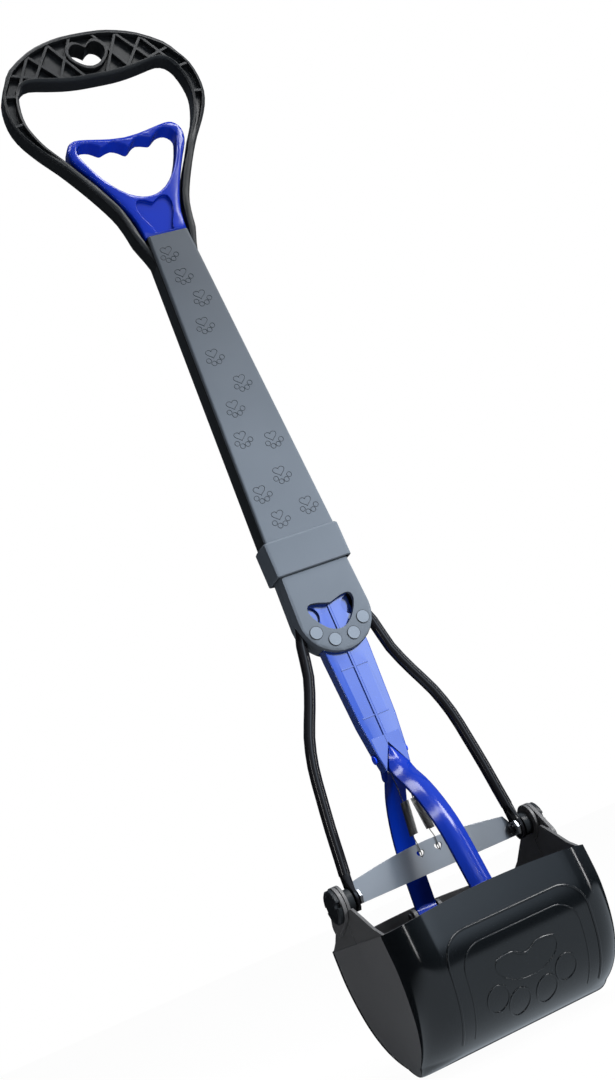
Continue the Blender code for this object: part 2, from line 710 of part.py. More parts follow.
def make_strap(root, finish):
    """Flat steel strap behind the wires, arched along its top, with a tab at each end for the pivot."""
    front, back = strap_front(), strap_front() + STRAP_THICKNESS
    end = strap_end()
    rise = STRAP_MIDDLE_HIGH - STRAP_END_HIGH
    arch = [(k / 8, STRAP_END_HIGH + rise * math.cos(math.pi * k / 16)) for k in range(8, -9, -1)]
    outline = [(share * (end - STRAP_BEND), z) for share, z in arch]
    outline += [(-end, STRAP_TAB_HIGH), (-end, STRAP_LOW), (end, STRAP_LOW), (end, STRAP_TAB_HIGH)]
    strap = Piece().plate(outline, front, back, "y").build("cross_strap", root, finish=finish)
    for side in (-1, 1):
        tab_end = -WIRE_EYE_RADIUS
        tab = [
            (back - GAP, STRAP_LOW), (back - GAP, STRAP_TAB_HIGH), (tab_end * 0.7, STRAP_TAB_HIGH),
            (tab_end, 0), (tab_end * 0.7, STRAP_LOW),
        ]
        reach = sorted((side * end, side * (end - STRAP_THICKNESS)))
        join(strap, Piece().plate(tab, reach[0], reach[1], "x").build(f"strap_tab_{side}", root))
        reach = sorted((side * (end + OVERRUN), side * (end - STRAP_THICKNESS - OVERRUN)))
        hole = Piece().plate(circle((0, 0), PIN_RADIUS + PIN_PLAY), reach[0], reach[1], "x")
        cut(strap, hole.build(f"strap_pin_hole_{side}", root))
        eye_low = SPRING_HOLE_Z - SPRING_HOLE_HEIGHT / 2
        eye = heart(side * SPRING_HOLE_X, eye_low, SPRING_HOLE_WIDTH, SPRING_HOLE_HEIGHT, ROUND_SIDES)
        tool = Piece().plate(eye, front - OVERRUN, back + OVERRUN, "y")
        cut(strap, tool.build(f"spring_eye_{side}", root))
    return strap


def hub_layers():
    """Distances from the middle to the inner faces of the plain hub, the stepped hub and the cap."""
    plain = JAW_HALF_WIDTH - JAW_WALL
    stepped = JAW_HALF_WIDTH + GAP
    cap = stepped + JAW_WALL + GAP
    return plain, stepped, cap


def turned(name, root, finish, side, steps):
    """A piece turned about the pivot axis. Steps are pairs of radius and distance from the middle."""
    rings = [[(side * x, u, v) for u, v in circle((0, 0), radius)] for radius, x in steps]
    return Piece().loft(rings).build(name, root, finish=finish)


def make_pivot(root, steel, plastic, side):
    """Headed pin, spacer and notched cap of one jaw pivot."""
    hand = "left" if side < 0 else "right"
    plain, stepped, cap = hub_layers()
    head = strap_end() - STRAP_THICKNESS - GAP
    pin_end = cap + CAP_SOCKET
    turned(
        f"pivot_pin_{hand}", root, steel, side,
        (
            (PIN_HEAD_RADIUS * 0.7, head - PIN_HEAD_THICK), (PIN_HEAD_RADIUS, head - PIN_HEAD_THICK / 2),
            (PIN_HEAD_RADIUS, head), (PIN_RADIUS, head), (PIN_RADIUS, pin_end),
        ),
    )
    inner, outer = WIRE_EYE_X + WIRE_EYE_HALF_THICK + 2 * GAP, plain - GAP
    steps = ((SPACER_RADIUS, inner), (SPACER_RADIUS, outer))
    spacer = turned(f"spacer_{hand}", root, plastic, side, steps)
    reach = sorted((side * (inner - OVERRUN), side * (outer + OVERRUN)))
    bore = circle((0, 0), PIN_RADIUS + PIN_PLAY)
    cut(spacer, Piece().plate(bore, reach[0], reach[1], "x").build(f"spacer_bore_{hand}", root))
    button = turned(
        f"pivot_cap_{hand}", root, plastic, side,
        ((CAP_RADIUS, cap), (CAP_RADIUS, cap + CAP_THICK * 0.7), (CAP_RADIUS * 0.88, cap + CAP_THICK)),
    )
    reach = sorted((side * (cap - OVERRUN), side * (cap + CAP_SOCKET + GAP)))
    cut(button, Piece().plate(bore, reach[0], reach[1], "x").build(f"cap_socket_{hand}", root))
    reach = sorted((side * (cap - OVERRUN), side * (cap + CAP_THICK + OVERRUN)))
    for index, centre in enumerate(((0, CAP_RADIUS), (CAP_RADIUS, 0), (-CAP_RADIUS, 0))):
        across, up = CAP_NOTCH_DEPTH, CAP_NOTCH_HALF
        if centre[0] == 0:
            across, up = up, across
        corners = ((-1, -1), (1, -1), (1, 1), (-1, 1))
        notch = [(centre[0] + a * across, centre[1] + b * up) for a, b in corners]
        tool = Piece().plate(notch, reach[0], reach[1], "x")
        cut(button, tool.build(f"cap_notch_{hand}_{index}", root))


# Shares of the jaw's depth below its rim, and there of its reach and of its narrowing towards the lip
JAW_PROFILE_SHARES = (
    (0.0, 1.0, 0.0), (0.12, 1.024, 0.03), (0.25, 1.034, 0.07), (0.38, 1.012, 0.12),
    (0.50, 0.972, 0.18), (0.61, 0.916, 0.26), (0.71, 0.836, 0.36), (0.80, 0.730, 0.48),
    (0.88, 0.590, 0.62), (0.945, 0.415, 0.78), (0.985, 0.215, 0.92), (1.0, 0.075, 1.0),
)


def jaw_ring(share, reach_share, narrow_share, wall, lift):
    """Plan of the jaw at one level, moved inwards by the wall, from one end of its seam to the other."""
    z = JAW_RIM_Z + (JAW_LIP_Z - JAW_RIM_Z) * share + lift
    half = JAW_HALF_WIDTH + (JAW_LIP_HALF_WIDTH - JAW_HALF_WIDTH) * narrow_share - wall
    reach = max(JAW_REACH * reach_share - wall, GAP * 4)
    corner = min(JAW_CORNER - wall, reach * 0.72, JAW_CORNER)
    seam = -OVERRUN if wall else GAP / 2
    outline = [(-half, -seam)] + arc((-half + corner, -reach + corner), corner, 180, 270, 5)
    middle = [(x * (half - corner) / 3, -reach) for x in (-1.6, 0, 1.6)]
    outline += middle + arc((half - corner, -reach + corner), corner, 270, 360, 5) + [(half, -seam)]
    return outline, z


def make_jaw(root, finish, front):
    """One scoop. Both jaws are the same moulding, one turned half a turn about the handle."""
    name = "front_jaw" if front else "rear_jaw"
    way = 1 if front else -1

    def turn(points):
        return [(way * x, way * y, z) for x, y, z in points]

    outer = []
    for index, shares in enumerate(JAW_PROFILE_SHARES):
        outline, z = jaw_ring(*shares, 0, 0)
        outer.append(turn([(x, y, z + (JAW_RIM_ARCH if index == 0 else 0)) for x, y in outline]))
    jaw = Piece().loft(outer).build(name, root, finish=finish)

    inner = []
    outline, z = jaw_ring(*JAW_PROFILE_SHARES[0], JAW_WALL, 0)
    inner.append(turn([(x, y, z + 3 * OVERRUN) for x, y in outline]))
    for shares in JAW_PROFILE_SHARES:
        outline, z = jaw_ring(*shares, JAW_WALL, JAW_WALL * shares[0] ** 2)
        inner.append(turn([(x, y, z) for x, y in outline]))
    inner.sort(key=lambda ring: -ring[0][2])
    cut(jaw, Piece().loft(inner).build(name + "_inside", root))
    side_to_side = [JAW_HALF_WIDTH * k / 8 for k in range(-9, 10)]
    rim = [(x, JAW_RIM_Z + JAW_RIM_ARCH * max(1 - (x / JAW_HALF_WIDTH) ** 2, 0)) for x in side_to_side]
    rim += [(rim[-1][0], 2 * OVERRUN), (rim[0][0], 2 * OVERRUN)]
    cut(jaw, Piece().plate(rim, -2 * JAW_REACH, 2 * JAW_REACH, "y").build(name + "_rim_arch", root))

    plain, stepped, _ = hub_layers()
    low, high = plain + SKIN, JAW_HALF_WIDTH - SKIN
    for side in (-1, 1):
        lapped = side * way > 0
        reach = sorted((side * low, side * high))
        outline = [(way * y, z) for y, z in ear_outline(lapped)]
        join(jaw, Piece().plate(outline, reach[0], reach[1], "x").build(f"{name}_ear_{side}", root))
        if lapped:
            pad = tangent_hull((0, 0), HUB_RADIUS, (-way * PAD_REACH, -PAD_DROP), PAD_RADIUS)
            reach = sorted((side * stepped, side * (stepped + JAW_WALL)))
            join(jaw, Piece().plate(pad, reach[0], reach[1], "x").build(f"{name}_pad_{side}", root))
            reach = sorted((side * (plain + JAW_WALL / 2), side * (stepped + JAW_WALL / 2)))
            disc = circle((-way * PAD_REACH, -PAD_DROP), PAD_RADIUS - GAP)
            foot = Piece().plate(disc, reach[0], reach[1], "x")
            join(jaw, foot.build(f"{name}_pad_foot_{side}", root))
        reach = sorted((side * (plain - OVERRUN), side * (stepped + JAW_WALL + OVERRUN)))
        bore = Piece().plate(circle((0, 0), PIN_RADIUS + PIN_PLAY), reach[0], reach[1], "x")
        cut(jaw, bore.build(f"{name}_bore_{side}", root))

    lug_inner = ARM_HALF_WIDTH + 2 * GAP
    wall_y = -way * (JAW_REACH - JAW_WALL / 2)
    for side in (-1, 1):
        reach = sorted((side * lug_inner, side * (lug_inner + LUG_THICK)))
        nose = arc((-way * LUG_PIN_Y, LUG_PIN_Z), LUG_RADIUS, 90, 90 + way * -180, 8)
        foot = -way * (JAW_REACH + JAW_WALL / 2)
        lug = nose + [(foot, LUG_PIN_Z - 4 * LUG_RADIUS), (wall_y, LUG_PIN_Z - LUG_RADIUS / 2)]
        join(jaw, Piece().plate(lug, reach[0], reach[1], "x").build(f"{name}_lug_{side}", root))
        reach = sorted((side * (lug_inner - OVERRUN / 2), side * (lug_inner + LUG_THICK + OVERRUN / 2)))
        disc = circle((-way * LUG_PIN_Y, LUG_PIN_Z), LUG_PIN_RADIUS + GAP, BORE_SIDES)
        bore = Piece().plate(disc, reach[0], reach[1], "x")
        cut(jaw, bore.build(f"{name}_lug_bore_{side}", root))
    return jaw


# Shares of the ear's reach and of the rim's drop, from the hub outwards
EAR_SHARES = ((-0.30, 0.19), (-0.53, 0.47), (-0.80, 0.81), (-1.0, 0.98))


def ear_outline(lapped):
    """Side view of the front jaw's ear. The plain ear carries the hub, the lapped one clears it."""
    below = JAW_RIM_Z - OVERRUN
    edge = [(y * EAR_REACH, z * JAW_RIM_Z) for y, z in EAR_SHARES]
    start = arc((0, 0), HUB_RADIUS, -90, 205, 28)
    if lapped:
        start = arc((0, 0), HUB_RADIUS + 2 * GAP, -90, -155, 6)
    start[0] = (-GAP, start[0][1])
    return [(-GAP, below)] + start + edge + [(-EAR_REACH, below)]


def tangent_hull(one, radius_one, two, radius_two, steps=10):
    """Outline round two circles, the first the larger."""
    gap = Vector(two) - Vector(one)
    heading = math.degrees(math.atan2(gap.y, gap.x))
    open_angle = math.degrees(math.acos((radius_one - radius_two) / gap.length))
    found = arc(one, radius_one, heading + open_angle, heading + 360 - open_angle, 2 * steps)
    return found + arc(two, radius_two, heading - open_angle, heading + open_angle, steps)


def make_lug_pin(root, finish, front):
    name = "front_lug_pin" if front else "rear_lug_pin"
    way = -1 if front else 1
    end = ARM_HALF_WIDTH + 2 * GAP + LUG_THICK + GAP
    centre = (way * LUG_PIN_Y, LUG_PIN_Z)
    rings = []
    head, out = LUG_PIN_RADIUS * 1.7, end + LUG_PIN_RADIUS
    for radius, x in ((head, -out), (head, -end), (LUG_PIN_RADIUS, -end), (LUG_PIN_RADIUS, out)):
        rings.append([place(p, x, "x") for p in circle(centre, radius, SCREW_SIDES)])
    return Piece().loft(rings).build(name, root, finish=finish)


# Shares of the way out from the rod pin to the lug pin and of the way down, along the middle of an arm
ARM_SHARES = (
    (0.154, 0.103), (0.24, 0.160), (0.40, 0.232), (0.57, 0.335), (0.73, 0.468),
    (0.84, 0.605), (0.91, 0.76), (0.965, 0.90), (0.992, 0.965),
)


# The same for the top of the front arm, which fills the notch of the rod
FRONT_ARM_TOP_SHARES = ((0.089, -0.036), (0.094, 0.0), (0.108, 0.042), (0.130, 0.078))


def arm_path(way):
    span = ROD_PIN_Z - LUG_PIN_Z
    shares = ARM_SHARES if way > 0 else FRONT_ARM_TOP_SHARES + ARM_SHARES
    points = [(way * y * LUG_PIN_Y, ROD_PIN_Z - z * span) for y, z in shares]
    return smooth_curve([Vector(p) for p in points], 2)


def notch_half(z):
    """Half the width of the notch in the rod's end at a height."""
    return ROD_NOTCH_WIDTH / 2 * (ROD_NOTCH_Z - z) / (ROD_NOTCH_Z - ROD_TIP_Z)


def make_arm(root, finish, front):
    """Curved link of V section from the pull rod to a jaw, with a loose eye at the bottom."""
    name = "front_arm" if front else "rear_arm"
    way = -1 if front else 1
    path = arm_path(way)
    rings = []
    for i, here in enumerate(path):
        before, after = path[max(i - 1, 0)], path[min(i + 1, len(path) - 1)]
        along = (after - before).normalized()
        out = Vector((along.y, -along.x)) * -1
        out = out if out.x * way > 0 or (abs(out.x) < abs(out.y) and out.y > 0) else -out
        if front:
            wide = min(ARM_HALF_WIDTH, notch_half(here.y) - 2 * GAP)
        else:
            wide = ARM_HALF_WIDTH * min(0.80 + 0.10 * i, 1)
        ridge = ARM_RIDGE * wide / ARM_HALF_WIDTH
        flange = ARM_SHEET + (ARM_FLANGE - ARM_SHEET) * (1 if here.y < ROD_TIP_Z + 2 * GAP else 0)
        profile = (
            (-wide, 0), (-wide * 0.5, ridge * 0.62), (0, ridge), (wide * 0.5, ridge * 0.62), (wide, 0),
            (wide, -flange), (wide * 0.45, -flange * 0.45), (0, -flange * 0.15),
            (-wide * 0.45, -flange * 0.45), (-wide, -flange),
        )
        rings.append([(x, here.x + out.x * n, here.y + out.y * n) for x, n in profile])
    arm = Piece().loft(rings).build(name, root, (0, 0, ROD_PIN_Z), finish)

    start = path[2 * len(FRONT_ARM_TOP_SHARES) + 1] if front else path[1]
    ranges = ((REAR_EYE_INNER, REAR_EYE_OUTER), (-REAR_EYE_OUTER, -REAR_EYE_INNER))
    if front:
        ranges = ((-FRONT_EYE_HALF, FRONT_EYE_HALF),)
    for index, (low, high) in enumerate(ranges):
        neck = tangent_hull((0, ROD_PIN_Z), ARM_EYE_RADIUS, (start.x, start.y), ARM_FLANGE * 0.9, 6)
        join(arm, Piece().plate(neck, low, high, "x").build(f"{name}_neck_{index}", root))
    reach = REAR_EYE_OUTER + OVERRUN
    bore = Piece().plate(circle((0, ROD_PIN_Z), ROD_PIN_RADIUS + GAP), -reach, reach, "x")
    cut(arm, bore.build(f"{name}_bore", root))

    eye = (way * (LUG_PIN_Y + EYE_SHIFT), LUG_PIN_Z)
    hole = LUG_PIN_RADIUS + EYE_PLAY
    half, reach = ARM_HALF_WIDTH - SKIN, ARM_HALF_WIDTH + OVERRUN
    tool = Piece().plate(circle(eye, hole + ARM_EYE_WALL), -half, half, "x")
    join(arm, tool.build(f"{name}_end", root))
    cut(arm, Piece().plate(circle(eye, hole), -reach, reach, "x").build(f"{name}_eye", root))
    return arm


def rod_sections():
    """Heights of the rod's sections, from the top, and half its width there."""
    return (
        (ROD_TOP, ROD_UPPER_HALF), (COLLAR_HIGH + ROD_LOWER_HALF, ROD_UPPER_HALF),
        (COLLAR_LOW, ROD_LOWER_HALF), (BODY_LOW, ROD_LOWER_HALF),
        (ROD_NOTCH_Z + ROD_LOWER_HALF, (ROD_LOWER_HALF + ROD_END_HALF) / 2),
        (ROD_NOTCH_Z - 2 * ROD_CHEEK, ROD_END_HALF), (ROD_TIP_Z, ROD_TIP_HALF),
    )


def make_rod(root, finish):
    """Pull rod: a flat bar with a dished front, a fine ridge down it and a forked, notched end."""
    front, floor = -ROD_HALF_DEPTH, -ROD_HALF_DEPTH + ROD_DISH
    rings = []
    for z, half in rod_sections():
        right = [
            (ROD_RIDGE_HALF, front), (2 * ROD_RIDGE_HALF, floor), (half * 0.62, floor - ROD_DISH * 0.15),
            (half - ROD_EDGE, front + ROD_DISH * 0.1), (half, front + ROD_EDGE), (half, ROD_HALF_DEPTH),
        ]
        rings.append([(x, y, z) for x, y in right + [(-x, y) for x, y in reversed(right)]])
    rod = Piece().loft(rings).build("pull_rod", root, (0, 0, ROD_PIN_Z), finish)
    over = ROD_UPPER_HALF + OVERRUN
    lap = box_outline(over, ROD_TOP - ROD_LAP, ROD_TOP + OVERRUN)
    cut(rod, Piece().plate(lap, front - OVERRUN, -GAP * 3, "y").build("rod_lap", root))
    high = ROD_NOTCH_Z + 2 * ROD_CHEEK
    high_half = ROD_END_HALF - ROD_EDGE
    face = [(-ROD_TIP_HALF, ROD_TIP_Z), (ROD_TIP_HALF, ROD_TIP_Z), (high_half, high), (-high_half, high)]
    join(rod, Piece().plate(face, front + SKIN, floor + FUSE, "y").build("rod_tip_face", root))
    fork = box_outline(ROD_TIP_HALF - ROD_CHEEK * 0.4, ROD_TIP_Z - OVERRUN, ROD_NOTCH_Z + ROD_CHEEK)
    tool = Piece().plate(fork, front + ROD_TIP_SKIN, ROD_HALF_DEPTH + OVERRUN, "y")
    cut(rod, tool.build("rod_fork", root))
    low = ROD_TIP_Z - OVERRUN
    notch = [(-notch_half(low), low), (notch_half(low), low), (0, ROD_NOTCH_Z)]
    tool = Piece().plate(notch, front - OVERRUN, ROD_HALF_DEPTH + OVERRUN, "y")
    cut(rod, tool.build("rod_notch", root))
    disc = circle((0, ROD_PIN_Z), ROD_PIN_RADIUS + GAP)
    bore = Piece().plate(disc, -ROD_LOWER_HALF, ROD_LOWER_HALF, "x")
    cut(rod, bore.build("rod_pin_bore", root))
    for index, z in enumerate(rod_screw_heights()):
        disc = circle((0, z), SCREW_RADIUS + GAP, BORE_SIDES)
        hole = Piece().plate(disc, -GAP * 6, ROD_HALF_DEPTH + OVERRUN, "y")
        cut(rod, hole.build(f"rod_screw_hole_{index}", root))
    for index, z in enumerate((ROD_NOTCH_Z + 1.2 * ROD_LOWER_HALF, BODY_LOW - 0.7 * ROD_LOWER_HALF)):
        crease = box_outline(ROD_END_HALF * 0.9, z, z + ROD_CREASE)
        tool = Piece().plate(crease, front + 2 * SKIN, floor + FUSE, "y")
        join(rod, tool.build(f"rod_crease_{index}", root))
    for side in (-1, 1):
        scallop = circle((side * ROD_LOWER_HALF, ROD_SCALLOP_Z), ROD_SCALLOP_RADIUS)
        scoop = Piece().plate(scallop, front - OVERRUN, front + ROD_SCALLOP_DEPTH, "y")
        cut(rod, scoop.build(f"rod_scallop_{side}", root))
    return rod


def rod_screw_heights():
    return (ROD_TOP - ROD_LAP * 0.3, ROD_TOP - ROD_LAP * 0.75)


# Shares of the trigger's half width and of its height above the tube
TRIGGER_OUTER_SHARES = (
    (0.364, 0.008), (0.397, 0.175), (0.488, 0.320), (0.636, 0.489), (0.820, 0.665),
    (0.947, 0.777), (1.0, 0.868), (0.971, 0.941), (0.880, 0.989), (0.742, 0.998),
    (0.478, 0.974), (0.239, 0.951), (0.0, 0.941),
)
TRIGGER_HOLE_SHARES = (
    (0.0, 0.371), (0.12, 0.378), (0.318, 0.427), (0.526, 0.534), (0.699, 0.674),
    (0.811, 0.801), (0.852, 0.874), (0.799, 0.927), (0.699, 0.947), (0.574, 0.932),
    (0.475, 0.895), (0.421, 0.883), (0.360, 0.893), (0.222, 0.910), (0.110, 0.884),
    (0.045, 0.855), (0.0, 0.844),
)
PANEL_SHARES = (
    (0.152, 0.035), (0.175, 0.10), (0.26, 0.185), (0.300, 0.27), (0.270, 0.337),
    (0.18, 0.352), (0.08, 0.330), (0.0, 0.305),
)


def smooth_shares(shares, half_width, low, height, steps):
    """Points through a table of shares, smoothed."""
    knots = [Vector((x * half_width, low + z * height)) for x, z in shares]
    return [tuple(p) for p in smooth_curve(knots, steps)]


def trigger_points(shares, steps):
    return smooth_shares(shares, TRIGGER_HALF_WIDTH, TUBE_TOP, TRIGGER_TOP - TUBE_TOP, steps)


def box_outline(half_width, low, high):
    return [(-half_width, low), (half_width, low), (half_width, high), (-half_width, high)]


def mirrored(half):
    """A closed outline from its right half. Points on the middle line aren't doubled."""
    left = [(-x, z) for x, z in reversed(half) if abs(x) > GAP]
    return half + left


def make_trigger(root, finish):
    """Pull trigger: a wide finger loop on a stem that slides in the tube."""
    origin = (0, 0, ROD_PIN_Z)
    outline = mirrored(trigger_points(TRIGGER_OUTER_SHARES, 2))
    trigger = Piece().plate(outline, TRIGGER_FRONT, TRIGGER_BACK, "y", TRIGGER_EDGE, TRIGGER_EDGE)
    trigger = trigger.build("trigger", root, origin, finish)
    hole = mirrored(trigger_points(TRIGGER_HOLE_SHARES, 2))
    edge = TRIGGER_HOLE_EDGE
    steps = [(TRIGGER_FRONT - OVERRUN, 1.0)]
    steps += [(TRIGGER_FRONT + edge * rise, share) for rise, share in EDGE_SHARES]
    steps += [(TRIGGER_BACK - edge * rise, share) for rise, share in reversed(EDGE_SHARES)]
    steps += [(TRIGGER_BACK + OVERRUN, 1.0)]
    rings = [[place(p, y, "y") for p in inset(hole, -edge * share)] for y, share in steps]
    cut(trigger, Piece().loft(rings).build("finger_hole", root))
    panel = mirrored(trigger_points(PANEL_SHARES, 2))
    tool = Piece().plate(panel, TRIGGER_FRONT - OVERRUN, TRIGGER_FRONT + PANEL_DEPTH, "y")
    cut(trigger, tool.build("trigger_panel", root))
    base = ROD_TOP - ROD_LAP + GAP
    top = TUBE_TOP + 2 * GAP + FUSE
    stem = box_outline(STEM_HALF_WIDTH, base, top)
    join(trigger, Piece().plate(stem, STEM_FRONT, STEM_BACK, "y").build("trigger_stem", root))
    lap = box_outline(STEM_HALF_WIDTH + OVERRUN, base - OVERRUN, ROD_TOP + GAP)
    cut(trigger, Piece().plate(lap, -GAP * 4, STEM_BACK + OVERRUN, "y").build("trigger_lap", root))
    for index, z in enumerate(rod_screw_heights()):
        disc = circle((0, z), SCREW_RADIUS + GAP, BORE_SIDES)
        bore = Piece().plate(disc, STEM_FRONT + GAP * 4, OVERRUN, "y")
        cut(trigger, bore.build(f"stem_screw_bore_{index}", root))
    return trigger


def make_rod_pin(root, finish):
    end = ROD_END_HALF + GAP
    rings = []
    head, out = ROD_PIN_RADIUS * 1.5, end + ROD_PIN_RADIUS / 2
    for radius, x in ((head, -out), (head, -end), (ROD_PIN_RADIUS, -end), (ROD_PIN_RADIUS, out)):
        rings.append([place(p, x, "x") for p in circle((0, ROD_PIN_Z), radius, BORE_SIDES)])
    return Piece().loft(rings).build("rod_pin", root, (0, 0, ROD_PIN_Z), finish)


def spring_points(side):
    """Route of one spring: a hook over the rod pin, a shank, the coil and a hook through the strap."""
    reach = ROD_PIN_RADIUS + GAP + SPRING_WIRE * 1.5
    x = SPRING_TOP_X
    points = []
    for degrees in range(-60, 181, 30):
        turn = math.radians(degrees)
        points.append(Vector((x, -reach * math.cos(turn), ROD_PIN_Z + reach * math.sin(turn))))
    strap_y = strap_front() + STRAP_THICKNESS / 2
    bend = STRAP_THICKNESS / 2 + SPRING_WIRE + 2 * GAP
    coil_top = Vector((SPRING_TOP_X, reach * 0.4, SPRING_COIL_HIGH))
    coil_low = Vector((SPRING_HOLE_X - SPRING_WIRE, strap_y - bend, SPRING_COIL_LOW))
    points.append(Vector((x, reach, ROD_PIN_Z - reach)))
    points.append(coil_top + Vector((0, SPRING_COIL_RADIUS * 0.5, 3 * SPRING_COIL_RADIUS)))
    steps = SPRING_TURNS * COIL_POINTS
    for k in range(steps + 1):
        share = k / steps
        middle = coil_top.lerp(coil_low, share)
        turn = 2 * math.pi * SPRING_TURNS * share + math.pi / 2
        points.append(middle + SPRING_COIL_RADIUS * Vector((math.cos(turn), math.sin(turn), 0)))
    points.append(Vector((SPRING_HOLE_X, strap_y - bend, SPRING_COIL_LOW - 2.2 * SPRING_COIL_RADIUS)))
    hook_z = SPRING_HOLE_Z + SPRING_WIRE
    for degrees in range(180, 361, 36):
        turn = math.radians(degrees)
        across, up = bend * math.cos(turn), bend * math.sin(turn)
        points.append(Vector((SPRING_HOLE_X, strap_y + across, hook_z + up)))
    points.append(Vector((SPRING_HOLE_X, strap_y + bend, hook_z + 2 * bend)))
    return [Vector((side * p.x, p.y, p.z)) for p in points]


def least_self_gap(points):
    """Smallest clear distance between turns of the wire, measured on its points."""
    apart = COIL_POINTS // 2
    least = min(
        (points[i] - points[j]).length
        for i in range(len(points))
        for j in range(i + apart, min(i + 2 * COIL_POINTS, len(points)))
    )
    return least - 2 * SPRING_WIRE


def make_spring(root, finish, side):
    name = "spring_left" if side < 0 else "spring_right"
    points = spring_points(side)
    curve = bpy.data.curves.new(name, "CURVE")
    curve.dimensions = "3D"
    curve.bevel_depth = SPRING_WIRE
    curve.bevel_resolution = 1
    curve.use_fill_caps = True
    line = curve.splines.new("POLY")
    line.points.add(len(points) - 1)
    for knot, p in zip(line.points, points):
        knot.co = (*p, 1)
    curve.materials.append(finish)
    obj = bpy.data.objects.new(name, curve)
    bpy.context.scene.collection.objects.link(obj)
    obj.parent = root
    print(name, "least gap to itself", round(least_self_gap(points) * 1000, 2), "mm")
    return obj


def main():
    clear_scene()
    grey = material("satin_grey_plastic", (0.118, 0.124, 0.137), 0.42)
    black = material("black_plastic", (0.022, 0.023, 0.026), 0.30)
    jaw_black = material("gloss_black_plastic", (0.020, 0.021, 0.024), 0.16)
    blue = material("royal_blue_plastic", (0.012, 0.045, 0.52), 0.22)
    steel = material("black_coated_steel", (0.030, 0.030, 0.032), 0.25, 0.6)
    bright = material("zinc_steel", (0.52, 0.52, 0.53), 0.32, 1.0)
    dark_steel = material("dark_spring_steel", (0.10, 0.10, 0.10), 0.35, 1.0)

    root = bpy.data.objects.new("scooper", None)
    bpy.context.scene.collection.objects.link(root)
    root.location = (0, 0, -HANG_ABOVE_PIVOT)

    make_frame(root, black)
    make_cover(root, grey)
    make_collar(root, grey)
    for front in (True, False):
        make_lower_shell(root, grey, front)
        make_jaw(root, jaw_black, front)
        make_arm(root, blue, front)
        make_lug_pin(root, bright, front)
    for side in (-1, 1):
        make_wire(root, steel, side)
        make_pivot(root, bright, black, side)
        make_spring(root, dark_steel, side)
    make_strap(root, steel)
    make_rod(root, blue)
    make_rod_pin(root, bright)
    make_trigger(root, blue)
    head, tip = cover_screw_head(), SCREW_TIP
    for index, (x, z) in enumerate(cover_screw_places()):
        make_screw(f"cover_screw_{index + 1}", root, bright, x, z, head, tip)
    head, tip = ROD_HALF_DEPTH + GAP, STEM_FRONT + GAP * 6
    for index, z in enumerate(rod_screw_heights()):
        make_screw(f"rod_screw_{index + 1}", root, bright, 0, z, head, tip)


main()
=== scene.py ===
"""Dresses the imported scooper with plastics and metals, embossed marks, fine springs and a studio."""
import math

import bmesh
import bpy
from mathutils import Matrix, Vector


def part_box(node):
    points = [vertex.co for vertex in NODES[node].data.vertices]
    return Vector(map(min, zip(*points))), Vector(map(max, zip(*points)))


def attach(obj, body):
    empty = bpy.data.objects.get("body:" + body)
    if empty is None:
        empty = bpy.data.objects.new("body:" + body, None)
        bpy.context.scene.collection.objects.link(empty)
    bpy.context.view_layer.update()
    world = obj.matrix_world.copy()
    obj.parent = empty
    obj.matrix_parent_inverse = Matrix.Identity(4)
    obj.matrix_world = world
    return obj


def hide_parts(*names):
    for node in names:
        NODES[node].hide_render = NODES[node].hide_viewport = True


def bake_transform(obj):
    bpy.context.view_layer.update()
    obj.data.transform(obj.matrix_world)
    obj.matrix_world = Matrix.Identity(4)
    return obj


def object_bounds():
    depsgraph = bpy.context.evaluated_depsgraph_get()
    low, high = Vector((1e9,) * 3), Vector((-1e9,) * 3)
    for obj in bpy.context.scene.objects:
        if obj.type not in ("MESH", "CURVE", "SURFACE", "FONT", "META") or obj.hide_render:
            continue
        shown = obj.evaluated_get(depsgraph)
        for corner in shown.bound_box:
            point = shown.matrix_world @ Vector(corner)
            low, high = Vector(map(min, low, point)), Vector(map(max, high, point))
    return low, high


bl_info = {
    "name": "Jaw Scooper Dressing",
    "version": (1, 0, 0),
    "blender": (4, 5, 0),
    "location": "View3D > Sidebar > Scooper",
    "description": "Dresses a long-handled jaw scooper for a product render",
    "category": "Object",
}

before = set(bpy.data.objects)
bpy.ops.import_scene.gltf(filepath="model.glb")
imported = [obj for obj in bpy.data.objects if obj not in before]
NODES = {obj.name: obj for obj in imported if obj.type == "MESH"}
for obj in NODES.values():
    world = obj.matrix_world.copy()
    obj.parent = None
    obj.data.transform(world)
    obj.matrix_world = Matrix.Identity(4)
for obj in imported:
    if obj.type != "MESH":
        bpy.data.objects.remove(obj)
CAD_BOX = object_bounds()

# The jaw pivots' height in the shared frame, in metres. The object's other heights are measured from it
PIVOT_Z = -0.5835

# Which material each CAD node takes
NODE_LOOKS = {
    "charcoal": ("handle_frame", "spacer_left", "spacer_right", "pivot_cap_left", "pivot_cap_right"),
    "tube_grey": ("tube_cover", "joint_collar", "lower_front_shell", "lower_rear_shell"),
    # The jaws' sides and insides take a dull grey far paler than the black jaw: painted light, where light
    # falls on the sides
    "jaw_dull": ("front_jaw", "rear_jaw"),
    "royal_blue": ("trigger", "rod_pin"),
    "link_blue": ("front_arm", "rear_arm"),
    "rod_blue": ("pull_rod",),
    "coated_steel": (
        "wire_left", "wire_right", "front_lug_pin", "rear_lug_pin", "pivot_pin_left", "pivot_pin_right",
    ),
    "strap_steel": ("cross_strap",),
    "zinc": (
        "cover_screw_1", "cover_screw_2", "cover_screw_3", "cover_screw_4", "rod_screw_1", "rod_screw_2",
    ),
    "spring_steel": ("spring_left", "spring_right"),
}
